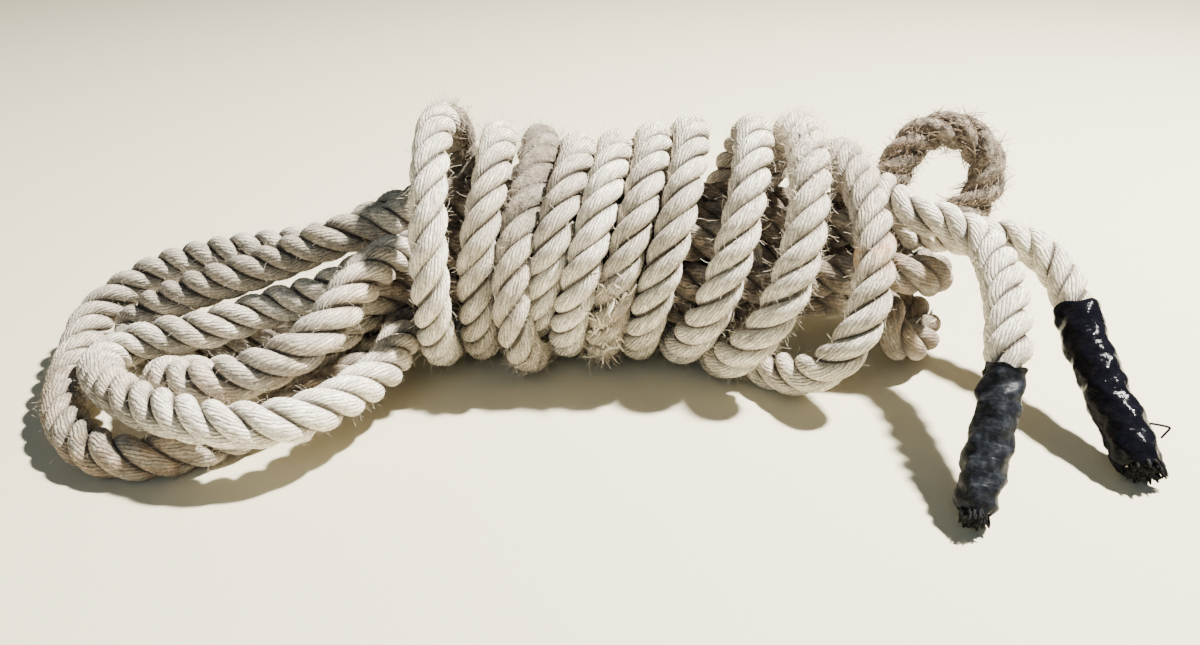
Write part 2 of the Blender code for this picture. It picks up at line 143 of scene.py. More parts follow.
INNER_BIGHT = [
    (-0.226, -0.076, 0.060), (-0.262, -0.092, 0.034), (-0.305, -0.100, 0.020),
    (-0.348, -0.100, 0.018), (-0.376, -0.110, 0.024), (-0.380, -0.135, 0.037),
    (-0.363, -0.157, 0.046), (-0.340, -0.172, 0.052), (-0.314, -0.180, 0.058),
    (-0.288, -0.180, 0.066), (-0.263, -0.176, 0.076), (-0.243, -0.169, 0.086),
    (-0.226, -0.153, 0.098), (-0.214, -0.130, 0.110), (-0.203, -0.106, 0.120)]
OUTER_BIGHT = [
    (-0.200, -0.030, 0.046), (-0.217, -0.078, 0.026), (-0.246, -0.130, 0.019),
    (-0.282, -0.176, 0.019), (-0.319, -0.211, 0.019), (-0.354, -0.230, 0.019),
    (-0.391, -0.229, 0.019), (-0.420, -0.211, 0.019), (-0.447, -0.180, 0.019),
    (-0.464, -0.146, 0.020), (-0.479, -0.100, 0.024), (-0.487, -0.055, 0.032),
    (-0.489, -0.020, 0.041), (-0.474, 0.000, 0.052), (-0.448, 0.013, 0.066),
    (-0.408, 0.016, 0.081), (-0.356, 0.007, 0.096), (-0.303, 0.000, 0.104),
    (-0.240, -0.003, 0.120)]

# Short bights at the right, and the one that stands up in a ring.
LOWER_BIGHT = [
    (0.287, 0.020, 0.052), (0.309, -0.010, 0.038),
    (0.303, -0.048, 0.033), (0.275, -0.068, 0.042)]
UPPER_BIGHT = [
    (0.287, 0.004, 0.096), (0.309, -0.022, 0.100),
    (0.303, -0.055, 0.104), (0.282, -0.068, 0.110)]
SHORT_BIGHT = [(0.122, -0.045, 0.125), (0.135, -0.028, 0.100), (0.122, -0.016, 0.076)]
STANDING_BIGHT = [
    (0.270, 0.042, 0.134), (0.282, 0.068, 0.145), (0.300, 0.083, 0.169),
    (0.320, 0.090, 0.189), (0.346, 0.090, 0.195), (0.369, 0.088, 0.188),
    (0.385, 0.083, 0.171), (0.389, 0.075, 0.150), (0.376, 0.062, 0.128),
    (0.342, 0.050, 0.112), (0.300, 0.043, 0.108)]

# Loose ends. The first runs from its tip into the bundle, the other out of the
# last turn to its tip.
END_B = [
    (0.428, -0.247, 0.016), (0.424, -0.220, 0.030), (0.418, -0.185, 0.051),
    (0.413, -0.140, 0.078), (0.411, -0.100, 0.103), (0.401, -0.060, 0.122),
    (0.376, -0.026, 0.125), (0.343, -0.004, 0.117), (0.305, 0.002, 0.112)]
END_A_ROOT = [
    (0.190, 0.070, 0.060), (0.222, 0.080, 0.100), (0.243, 0.054, 0.138),
    (0.259, 0.010, 0.153)]
END_A = [
    (0.276, -0.036, 0.150), (0.311, -0.060, 0.151), (0.332, -0.093, 0.145),
    (0.332, -0.130, 0.138), (0.328, -0.163, 0.129), (0.318, -0.208, 0.108),
    (0.307, -0.237, 0.080), (0.294, -0.264, 0.052), (0.283, -0.286, 0.029),
    (0.275, -0.304, 0.0145)]

# Where the last run leaves the bundle and comes up into the first turn.
WINDING_START = [(-0.138, 0.062, 0.138), (-0.137, 0.074, 0.170), (-0.139, 0.052, 0.207)]

# The frapping turns, left to right. Each comes up the back, goes over the top, down
# the front and under: x halfway up the back, at the top, front and underside, half
# the turn's depth, the rope's height at the top and at the underside, how far the
# turn's top leans back, how far the whole turn lies back, and how thick the rope is.
Turn = namedtuple("Turn", "rise_x top_x front_x under_x reach top_z under_z lean back girth")
TURNS = [
    Turn(-0.137, -0.144, -0.1435, -0.143, 0.106, 0.231, 0.0165, 0.000, -0.020, 0.89),
    Turn(-0.115, -0.091, -0.101, -0.112, 0.095, 0.210, 0.0165, 0.000, 0.000, 0.89),
    Turn(-0.085, -0.052, -0.073, -0.047, 0.098, 0.195, 0.0165, 0.038, 0.000, 0.91),
    Turn(-0.045, -0.019, -0.047, -0.052, 0.084, 0.199, 0.046, -0.016, 0.004, 0.90),
    Turn(-0.010, 0.013, -0.024, -0.028, 0.095, 0.200, 0.0165, 0.000, 0.000, 0.90),
    Turn(0.022, 0.050, 0.012, 0.005, 0.095, 0.207, 0.0165, 0.004, 0.000, 0.90),
    Turn(0.056, 0.083, 0.047, 0.041, 0.097, 0.213, 0.0165, 0.006, 0.000, 0.90),
    Turn(0.138, 0.1445, 0.110, 0.080, 0.096, 0.211, 0.0175, 0.004, 0.000, 0.96),
    Turn(0.142, 0.183, 0.162, 0.112, 0.102, 0.212, 0.0185, 0.024, -0.010, 1.01),
    Turn(0.205, 0.248, 0.229, 0.142, 0.102, 0.169, 0.0185, 0.049, -0.022, 0.98)]


# How thick the rope is in each section, next to its full size, where that differs:
# it is pulled thin where it is wound tight. The thickness at either end of it.
GIRTH = {"end_b": (0.98, 0.96), "winding_start": (0.89, 0.89),
         "end_a_root": (0.95, 0.90), "end_a": (0.89, 1.10)}


def cubic_through(at, values, where):
    """Values at `where` of the natural cubic that passes through values at `at`."""
    at = np.asarray(at, float)
    values = np.asarray(values, float).reshape(len(at), -1)
    gaps = np.diff(at)
    count = len(at)
    matrix = np.eye(count)
    slope_change = np.zeros_like(values)
    for i in range(1, count - 1):
        matrix[i, i - 1:i + 2] = gaps[i - 1], 2 * (gaps[i - 1] + gaps[i]), gaps[i]
        rise = (values[i + 1] - values[i]) / gaps[i]
        slope_change[i] = 6 * (rise - (values[i] - values[i - 1]) / gaps[i - 1])
    bend = np.linalg.solve(matrix, slope_change)
    left = np.clip(np.searchsorted(at, where, side="right") - 1, 0, count - 2)
    gap = gaps[left][:, None]
    ahead = (at[left + 1] - where)[:, None]
    behind = (where - at[left])[:, None]
    arcs = (bend[left] * ahead**3 + bend[left + 1] * behind**3) / (6 * gap)
    start = (values[left] / gap - bend[left] * gap / 6) * ahead
    return arcs + start + (values[left + 1] / gap - bend[left + 1] * gap / 6) * behind


def leg_stations(name, rightward):
    """Stations of one run of the bundle."""
    leg = LEGS[name]
    stations = []
    for i in range(LEG_STATIONS):
        t = i / (LEG_STATIONS - 1)
        x = leg.left_x + (leg.right_x - leg.left_x) * t
        angle = math.radians(leg.left_angle + (leg.right_angle - leg.left_angle) * t)
        out = leg.left_out + (leg.right_out - leg.left_out) * t
        z = BUNDLE_Z[0] + (BUNDLE_Z[1] - BUNDLE_Z[0]) * t
        stations.append((x, BUNDLE_Y - out * math.sin(angle), z + out * math.cos(angle)))
    return stations if rightward else stations[::-1]


def turn_stations():
    """Stations of the frapping turns, from the first top to the last underside."""
    turns = np.arange(len(TURNS)) * 4
    quarters = np.linspace(0, turns[-1] + 2, (len(TURNS) * 4 - 2) * STEPS_PER_TURN // 4 + 1)

    def along(field, quarter):
        return np.interp(quarters, turns + quarter, [getattr(turn, field) for turn in TURNS])

    at = [i + quarter for i in turns for quarter in (-1, 0, 1, 2)]
    x_keys = [x for turn in TURNS for x in turn[:4]]
    angle = quarters * math.pi / 2
    top, under = along("top_z", 0), along("under_z", 2)
    x = cubic_through(at, x_keys, quarters)[:, 0]
    y = (along("back", 1) + along("lean", 1) * np.cos(angle)
         - along("reach", 1) * np.sin(angle))
    z = (top + under) / 2 + (top - under) / 2 * np.cos(angle)
    return [tuple(point) for point in np.stack([x, y, z], 1)]


def girths(name, points):
    """How thick the rope is at each station of a section."""
    if name == "turns":
        at = np.arange(len(points)) / STEPS_PER_TURN
        return np.interp(at, np.arange(len(TURNS)), [turn.girth for turn in TURNS])
    return np.linspace(*GIRTH.get(name, (1.0, 1.0)), len(points))


ROPE_SECTIONS = [
    ("end_b", END_B),
    ("leg_top_front", leg_stations("top_front", False)),
    ("back_bight", BACK_BIGHT),
    ("leg_back_low", leg_stations("back_low", True)),
    ("lower_bight", LOWER_BIGHT),
    ("leg_front_low", leg_stations("front_low", False)),
    ("front_bight", FRONT_BIGHT),
    ("leg_middle", leg_stations("middle", True)),
    ("upper_bight", UPPER_BIGHT),
    ("leg_front_middle", leg_stations("front_middle", False)),
    ("inner_bight", INNER_BIGHT),
    ("leg_front_high", leg_stations("front_high", True)),
    ("short_bight", SHORT_BIGHT),
    ("leg_low", leg_stations("low", False)),
    ("outer_bight", OUTER_BIGHT),
    ("leg_top_back", leg_stations("top_back", True)),
    ("standing_bight", STANDING_BIGHT),
    ("leg_back_high", leg_stations("back_high", False)),
    ("winding_start", WINDING_START),
    ("turns", turn_stations()),
    ("end_a_root", END_A_ROOT),
    ("end_a", END_A)]

SQUEEZE = 0.93                 # the strands stay this far inside the tape's sleeve
SQUEEZE_FADE = 0.014
TIP_IN = 0.22                  # how much thinner the rope is at its tips
TIP_LENGTH = 0.018
STRANDS_SHORT = 0.007          # frayed yarns take over from the strands this near a tip
SETTLE_STEP = 0.012            # between the points that push each other apart
SETTLE_ROUNDS = 120
SETTLE_PINNED = 26             # points at each tip that stay where they are


def settle(points, radius):
    """Push the rope's neighbouring runs apart until they lie beside each other."""
    home = points.copy()
    moved = np.zeros_like(points)
    count = len(points)
    index = np.arange(count)
    apart = int(2.2 * 2 * ROPE_R / SETTLE_STEP)
    for turn in range(SETTLE_ROUNDS):
        now = home + moved
        ahead = np.gradient(now, axis=0)
        ahead /= np.linalg.norm(ahead, axis=1)[:, None]
        if turn % 4 == 0:
            between = np.linalg.norm(now[:, None] - now[None], axis=2)
            near = (between < 1.35 * 2 * ROPE_R) & (np.abs(index[:, None] - index) > apart)
            first, second = np.nonzero(near)
            room = radius[first] + radius[second]
        offset = now[first] - now[second]
        along = (offset * ahead[first]).sum(1)
        across = offset - along[:, None] * ahead[first]
        width = np.linalg.norm(across, axis=1)
        push = np.where(np.abs(along) < 0.75 * SETTLE_STEP, room - width, 0)
        push = np.maximum(push, 0)
        step = across / np.maximum(width, 1e-6)[:, None] * (push / 2)[:, None]
        total = np.zeros_like(now)
        hits = np.zeros(count)
        np.add.at(total, first, step)
        np.add.at(hits, first, push > 0)
        moved += 0.7 * total / np.maximum(hits, 1)[:, None]
        for _ in range(2):
            moved[1:-1] = 0.25 * moved[:-2] + 0.5 * moved[1:-1] + 0.25 * moved[2:]
        moved *= 0.98
        moved[:SETTLE_PINNED] = 0
        moved[-SETTLE_PINNED:] = 0
        low = 0.98 * radius - home[:, 2]
        free = slice(SETTLE_PINNED, -SETTLE_PINNED)
        moved[free, 2] = np.maximum(moved[free, 2], low[free])
    return home + moved


def smooth(share):
    """0 below 0 and 1 above 1, smooth between."""
    share = np.clip(share, 0, 1)
    return share * share * (3 - 2 * share)


class Rope:
    """The rope's centreline from tip to tip, with a frame that does not twist."""

    FINE = 0.001

    def __init__(self):
        stations = []
        girth = []
        self.first = {}
        for name, points in ROPE_SECTIONS:
            self.first[name] = len(stations)
            stations.extend(points)
            girth.extend(girths(name, points))
        self.first["stop"] = len(stations) - 1
        stations = np.array(stations)
        stations[:, :2] += CENTRE
        stations[:, 2] -= PRESS
        chords = np.linalg.norm(np.diff(stations, axis=0), axis=1)
        knots = np.concatenate([[0], np.cumsum(chords**0.75)])
        fine_at = np.linspace(0, knots[-1], int(chords.sum() / self.FINE))
        drawn = cubic_through(knots, stations, fine_at)
        arc = self.lengths(drawn)
        stops = np.linspace(0, arc[-1], round(arc[-1] / SETTLE_STEP) + 1)
        coarse = np.stack([np.interp(stops, arc, drawn[:, k]) for k in range(3)], 1)
        station_arc = np.interp(knots, fine_at, arc)
        settled = settle(coarse, ROPE_R * np.interp(stops, station_arc, girth))
        fine_stops = np.linspace(0, arc[-1], int(arc[-1] / self.FINE) + 1)
        self.points = cubic_through(stops, settled, fine_stops)
        self.arc = self.lengths(self.points)
        self.length = self.arc[-1]
        self.station_arc = np.interp(station_arc, fine_stops, self.arc)
        self.girth = np.interp(self.arc, self.station_arc, girth)
        self.ahead = np.gradient(self.points, axis=0)
        self.ahead /= np.linalg.norm(self.ahead, axis=1)[:, None]
        self.side = self.untwisted()

    @staticmethod
    def lengths(points):
        steps = np.linalg.norm(np.diff(points, axis=0), axis=1)
        return np.concatenate([[0], np.cumsum(steps)])

    def untwisted(self):
        """A side direction at each point, carried along without turning."""
        side = np.zeros_like(self.ahead)
        now = np.cross(self.ahead[0], (1.0, 0.0, 0.0))
        for i, ahead in enumerate(self.ahead):
            now = now - ahead * now.dot(ahead)
            now /= math.sqrt(now.dot(now))
            side[i] = now
        return side

    def at(self, where, values=None):
        """The centreline, or other values along it, at these lengths."""
        values = self.points if values is None else values
        return np.stack([np.interp(where, self.arc, values[:, k]) for k in range(3)], 1)

    def place(self, name, share=0.0):
        """How far along the rope a share of one section is."""
        names = [section for section, _ in ROPE_SECTIONS] + ["stop"]
        start = self.station_arc[self.first[name]]
        stop = self.station_arc[self.first[names[names.index(name) + 1]]]
        return start + (stop - start) * share

    def thickness(self, where):
        """The rope's radius: pulled thin where it is tight, squeezed under its tape."""
        radius = ROPE_R * np.interp(where, self.arc, self.girth)
        for end, from_tip in (("end_b", where), ("end_a", self.length - where)):
            held = END_STICKS_OUT + TAPE_LENGTH[end] + SQUEEZE_FADE - from_tip
            held = smooth(held / SQUEEZE_FADE)
            radius = radius + (SQUEEZE * TAPED_R[end] - radius) * held
            radius = radius * (1 - TIP_IN * smooth(1 - from_tip / TIP_LENGTH))
        return radius

    def bare(self, where):
        """0 under a tape and 1 where the rope shows."""
        from_b, from_a = where, self.length - where
        past_b = smooth((from_b - END_STICKS_OUT - TAPE_LENGTH["end_b"]) / 0.004)
        return past_b * smooth((from_a - END_STICKS_OUT - TAPE_LENGTH["end_a"]) / 0.004)

    def turn(self, number):
        """How far along the rope a turn is: 1.0 at the first top, 1.25 at its front."""
        station = self.first["turns"] + (number - 1) * STEPS_PER_TURN
        return np.interp(station, np.arange(len(self.station_arc)), self.station_arc)


rope = Rope()

# The three strands. They touch in a deep groove, and each is squeezed wider than
# it is thick. All in rope radii.
LAY = 0.079                    # length in which a strand goes once round
STRANDS = 3
STRAND_OUT = 0.495
STRAND_THICK = 0.505
STRAND_WIDE = 0.59
STRAND_SIDES = 16
RING_SPACING = 0.004
FLOOR_CLEAR = 0.0004

# Wear and painted shade, by stretch of rope. felt: matted fibre that fills the grooves;
# dirt: grey, from grime and in some rows painted shade; brown: dark brown,
# in some rows painted shade; stain: orange-brown; pale: clean and bright; loose: strands
# that have opened; fuzz: how many loose fibres stand out.
WearAndShade = namedtuple("WearAndShade", "start stop felt dirt brown stain pale loose fuzz")
WEAR_AND_SHADE = [
    WearAndShade(rope.place("standing_bight", 0.02), rope.place("leg_back_high", 0.10),
         0.75, 0.45, 1.0, 0.35, 0.0, 0.0, 1.0),
    # Painted shade, with grime: the two short bights at the right lie in the recess behind the loose
    # ends, so they are painted grey and brown.
    WearAndShade(rope.place("lower_bight", -0.1), rope.place("lower_bight", 1.1),
         0.15, 0.8, 0.60, 0.45, 0.0, 0.0, 0.3),
    WearAndShade(rope.place("upper_bight", -0.1), rope.place("upper_bight", 1.1),
         0.15, 0.8, 0.60, 0.45, 0.0, 0.0, 0.3),
    WearAndShade(rope.turn(2.90), rope.turn(3.17), 0.9, 1.0, 0.25, 0.2, 0.0, 0.05, 0.6),
    WearAndShade(rope.turn(3.36), rope.turn(3.52), 0.30, 0.2, 0.1, 0.2, 0.0, 0.1, 0.6),
    WearAndShade(rope.turn(6.24), rope.turn(6.48), 0.35, 0.2, 0.25, 0.3, 0.2, 0.25, 1.0),
    WearAndShade(rope.turn(10.15), rope.turn(10.19), 0.0, 0.0, 0.0, 0.9, 0.0, 0.0, 0.2),
    WearAndShade(rope.turn(1.95), rope.turn(2.05), 0.20, 0.0, 0.0, 0.0, 0.3, 0.0, 0.5),
    WearAndShade(rope.turn(8.92), rope.turn(9.10), 0.45, 0.0, 0.0, 0.0, 0.7, 0.0, 0.9),
    WearAndShade(rope.turn(9.12), rope.turn(9.40), 0.10, 0.0, 0.0, 0.0, 0.4, 0.0, 0.5),
    WearAndShade(rope.turn(9.90), rope.turn(10.08), 0.25, 0.15, 0.0, 0.2, 0.0, 0.0, 0.5),
    # Painted shade, with brown fuzz: the back of the first turn is painted grey and dark brown where it
    # lies in shade.
    WearAndShade(rope.turn(0.66), rope.turn(0.98), 0.30, 0.9, 0.8, 0.0, 0.0, 0.0, 0.6),
    WearAndShade(rope.place("outer_bight", 0.00), rope.place("outer_bight", 0.52),
         0.0, 0.1, 0.50, 0.60, 0.0, 0.0, 0.2),
    WearAndShade(rope.place("outer_bight", 0.55), rope.place("outer_bight", 1.0),
         0.0, 0.3, 0.15, 0.0, 0.0, 0.0, 0.2),
    WearAndShade(rope.place("back_bight", 0.0), rope.place("back_bight", 1.0),
         0.0, 0.4, 0.25, 0.1, 0.0, 0.0, 0.2),
    WearAndShade(rope.place("front_bight", 0.06), rope.place("front_bight", 0.32),
         0.0, 0.0, 0.0, 0.0, 0.9, 0.0, 0.2),
    WearAndShade(rope.place("front_bight", 0.36), rope.place("front_bight", 0.52),
         0.0, 0.1, 0.15, 0.2, 0.0, 0.0, 0.3),
    WearAndShade(rope.place("inner_bight", 0.45), rope.place("inner_bight", 0.95),
         0.05, 0.1, 0.0, 0.25, 0.1, 0.35, 0.3),
    # Painted shade, with grime: the bundle's runs, in the shade between and under the turns, are painted
    # grey and dark brown.
    *(WearAndShade(rope.place("leg_" + name, 0.08), rope.place("leg_" + name, 0.92),
           0.10, 0.8, 1.0, 0.4, 0.0, 0.0, 0.3) for name in LEGS),
    WearAndShade(rope.turn(1.05), rope.turn(1.48), 0.0, 0.0, 0.0, 0.0, 0.6, 0.0, 0.1),
    WearAndShade(rope.turn(2.10), rope.turn(2.45), 0.0, 0.3, 0.0, 0.15, 0.0, 0.0, 0.1),
    WearAndShade(rope.turn(3.18), rope.turn(3.50), 0.0, 0.3, 0.0, 0.10, 0.0, 0.0, 0.2),
    WearAndShade(rope.turn(4.18), rope.turn(4.34), 0.0, 0.0, 0.0, 0.0, 0.7, 0.0, 0.1),
    WearAndShade(rope.turn(5.04), rope.turn(5.46), 0.0, 0.0, 0.0, 0.0, 0.8, 0.0, 0.1),
    WearAndShade(rope.turn(8.04), rope.turn(8.48), 0.0, 0.0, 0.0, 0.0, 0.5, 0.0, 0.1),
    WearAndShade(rope.place("end_a", 0.0), rope.length, 0.0, 0.0, 0.0, 0.0, 0.3, 0.0, 0.1),
    WearAndShade(0.0, rope.place("leg_top_front"), 0.0, 0.0, 0.0, 0.0, 0.2, 0.0, 0.1)]
WEAR_AND_SHADE_FADE = 0.030


def wear_and_shade_at(where, field):
    """How strongly one column of the table marks the rope at these lengths, from 0 to 1, painted shade
    included.
    """
    most = np.zeros(len(where))
    for row in WEAR_AND_SHADE:
        inside = np.minimum(where - row.start, row.stop - where) / WEAR_AND_SHADE_FADE + 0.5
        most = np.maximum(most, getattr(row, field) * smooth(inside))
    return most


def waver(where, seed, wavelength):
    """A smooth value between about -1 and 1 that drifts along the rope."""
    dice = np.random.default_rng(seed)
    total = np.zeros(len(where))
    for stretch in (1.0, 0.57, 0.31):
        wave = math.tau / (wavelength * stretch)
        total += stretch * np.sin(where * wave + dice.uniform(0, math.tau))
    return total / 1.6


def lay_strands(name, start, stop):
    """A stretch of rope: three laid strands, each a closed tube, as one object."""
    count = max(3, round((stop - start) / RING_SPACING) + 1)
    where = np.linspace(start, stop, count)
    radius = rope.thickness(where)[:, None]
    centre, ahead, side = rope.at(where), rope.at(where, rope.ahead), rope.at(where, rope.side)
    up = np.cross(ahead, side)
    felt, loose = wear_and_shade_at(where, "felt"), wear_and_shade_at(where, "loose")
    around = np.arange(STRAND_SIDES) / STRAND_SIDES * math.tau - math.pi
    around = around + 0.22 * np.sin(around)
    verts, faces, lay, wear_and_shade, along, skin, matted = [], [], [], [], [], [], []
    for strand in range(STRANDS):
        swell = 1 + 0.035 * waver(where, 10 + strand, 0.11)
        turn = (where / LAY + strand / STRANDS) * math.tau + 0.10 * waver(where, 20 + strand, 0.16)
        out = STRAND_OUT * (1 + 0.24 * loose) + 0.02 * waver(where, 30 + strand, 0.13)
        thick = STRAND_THICK * swell * (1 + 0.04 * loose)
        wide = STRAND_WIDE * swell * (1 + 0.10 * loose)
        away = out[:, None] + thick[:, None] * np.cos(around)
        across = wide[:, None] * np.sin(around)
        reach = np.hypot(away, across)
        lumps = 1 + 0.05 * waver(where, 40 + strand, 0.021)
        filled = np.maximum(reach, (0.96 * felt * lumps)[:, None])
        grow = np.where(away > 0.25, filled / reach, 1) * radius
        away, across = away * grow, across * grow
        outward = np.cos(turn)[:, None] * side + np.sin(turn)[:, None] * up
        sideways = -np.sin(turn)[:, None] * side + np.cos(turn)[:, None] * up
        rings = (centre[:, None] + away[..., None] * outward[:, None]
                 + across[..., None] * sideways[:, None])
        rings[..., 2] = np.maximum(rings[..., 2], FLOOR_CLEAR)
        base = len(verts) * count * STRAND_SIDES
        verts.append(rings.reshape(-1, 3))
        here = base + np.arange(count - 1)[:, None] * STRAND_SIDES + np.arange(STRAND_SIDES)
        beside = base + np.arange(count - 1)[:, None] * STRAND_SIDES \
            + (np.arange(STRAND_SIDES) + 1) % STRAND_SIDES
        quads = np.stack([here, beside, beside + STRAND_SIDES, here + STRAND_SIDES], -1)
        faces.extend(quads.reshape(-1, 4).tolist())
        first = base + np.arange(STRAND_SIDES)
        faces.append(first[::-1].tolist())
        faces.append((first + (count - 1) * STRAND_SIDES).tolist())
        shares = np.broadcast_to(around / math.tau, (count, STRAND_SIDES))
        lengths = np.broadcast_to(where[:, None], shares.shape)
        numbers = np.full(shares.shape, float(strand))
        lay.append(np.stack([lengths, shares, numbers], -1).reshape(-1, 3))
        # Grey, brown, stain and pale per ring, from the table; where the table paints shade, these carry
        # painted shade too.
        rows = [wear_and_shade_at(where, field) for field in ("dirt", "brown", "stain", "pale")]
        rows = np.stack(rows, 1)[:, None].repeat(STRAND_SIDES, 1)
        wear_and_shade.append(rows.reshape(-1, 4))
        along.append(ahead[:, None].repeat(STRAND_SIDES, 1).reshape(-1, 3))
        outside = np.clip((1.75 - np.abs(around)) / 0.5, 0, 1)
        fuzz = (0.10 + 0.90 * wear_and_shade_at(where, "fuzz")) * rope.bare(where)
        skin.append((fuzz[:, None] * outside).reshape(-1))
        matted.append(felt[:, None].repeat(STRAND_SIDES, 1).reshape(-1))
    mesh = bpy.data.meshes.new(name)
    mesh.from_pydata(np.concatenate(verts).tolist(), [], faces)
    attributes = (("lay", "FLOAT_VECTOR", "vector", lay), ("wear_and_shade", "FLOAT_COLOR", "color", wear_and_shade),
                  ("along", "FLOAT_VECTOR", "vector", along), ("skin", "FLOAT", "value", skin),
                  ("felt", "FLOAT", "value", matted))
    for label, kind, slot, values in attributes:
        layer = mesh.attributes.new(label, kind, "POINT")
        layer.data.foreach_set(slot, np.concatenate(values).astype(np.float32).ravel())
    mesh.shade_smooth()
    made = bpy.data.objects.new(name, mesh)
    bpy.context.scene.collection.objects.link(made)
    return made


class Signal:
    """A value inside a material, so that sums on it read as sums."""

    def __init__(self, look, socket):
        self.look = look
        self.socket = socket

    def __add__(self, other):
        return self.look.sum("ADD", self, other)

    def __radd__(self, other):
        return self.look.sum("ADD", other, self)

    def __sub__(self, other):
        return self.look.sum("SUBTRACT", self, other)

    def __rsub__(self, other):
        return self.look.sum("SUBTRACT", other, self)

    def __mul__(self, other):
        return self.look.sum("MULTIPLY", self, other)

    def __rmul__(self, other):
        return self.look.sum("MULTIPLY", other, self)

    def __truediv__(self, other):
        return self.look.sum("DIVIDE", self, other)

    def __rtruediv__(self, other):
        return self.look.sum("DIVIDE", other, self)

    def __pow__(self, other):
        return self.look.sum("POWER", self, other)

    def __rpow__(self, other):
        return self.look.sum("POWER", other, self)


class Look:
    """A material and the nodes that give it its surface."""

    def __init__(self, name, **settings):
        self.material = bpy.data.materials.new(name)
        self.material.use_nodes = True
        self.tree = self.material.node_tree
        self.shader = self.tree.nodes["Principled BSDF"]
        for socket, value in settings.items():
            self.shader.inputs[socket.replace("_", " ")].default_value = value

    def node(self, kind, output=0, settings=None, **inputs):
        """Add a node of any kind and return one of its outputs."""
        node = self.tree.nodes.new("ShaderNode" + kind)
        for key, value in (settings or {}).items():
            setattr(node, key, value)
        for key, value in inputs.items():
            self.feed(node.inputs[key.replace("_", " ")], value)
        return Signal(self, node.outputs[output])

    def feed(self, socket, value):
        if isinstance(value, Signal):
            self.tree.links.new(value.socket, socket)
        else:
            socket.default_value = value

    def sum(self, operation, *values, limit=False):
        node = self.tree.nodes.new("ShaderNodeMath")
        node.operation = operation
        node.use_clamp = limit
        for socket, value in zip(node.inputs, values):
            self.feed(socket, value)
        return Signal(self, node.outputs[0])

    def between(self, value, low, high):
        """0 below low and 1 above high, smooth between."""
        node = self.tree.nodes.new("ShaderNodeMapRange")
        node.interpolation_type = "SMOOTHSTEP"
        self.feed(node.inputs["Value"], value)
        node.inputs["From Min"].default_value = low
        node.inputs["From Max"].default_value = high
        return Signal(self, node.outputs["Result"])

    def mix(self, factor, first, second, blend="MIX"):
        """Mix two colours."""
        node = self.tree.nodes.new("ShaderNodeMix")
        node.data_type = "RGBA"
        node.blend_type = blend
        self.feed(node.inputs["Factor"], factor)
        for socket, value in ((node.inputs[6], first), (node.inputs[7], second)):
            self.feed(socket, value if isinstance(value, Signal) else (*value, 1.0))
        return Signal(self, node.outputs[2])

    def vector(self, x, y, z):
        return self.node("CombineXYZ", X=x, Y=y, Z=z)

    def noise(self, vector, scale, detail=2.0, roughness=0.5):
        return self.node("TexNoise", Vector=vector, Scale=scale, Detail=detail,
                         Roughness=roughness)

    def set(self, socket, value):
        self.feed(self.shader.inputs[socket], value)

    def bump(self, height, distance, strength=1.0):
        self.set("Normal", self.node("Bump", Height=height, Distance=distance,
                                     Strength=strength))


YARNS = 20                     # round a strand
YARN_LEAN = 18.0               # turns a yarn makes in its strand in a metre

CLEAN = (0.84, 0.78, 0.64)
SHADE = (0.48, 0.425, 0.34)
TAN = (0.50, 0.41, 0.305)
GREY = (0.30, 0.272, 0.222)
BROWN = (0.120, 0.088, 0.060)
RUST = (0.50, 0.27, 0.11)
BRIGHT = (0.98, 0.92, 0.79)
MATTED = (0.33, 0.305, 0.245)
# Painted shade, with some grime, for the grooves between the strands.
GROOVE_DIRT_AND_SHADE = (0.085, 0.062, 0.042)


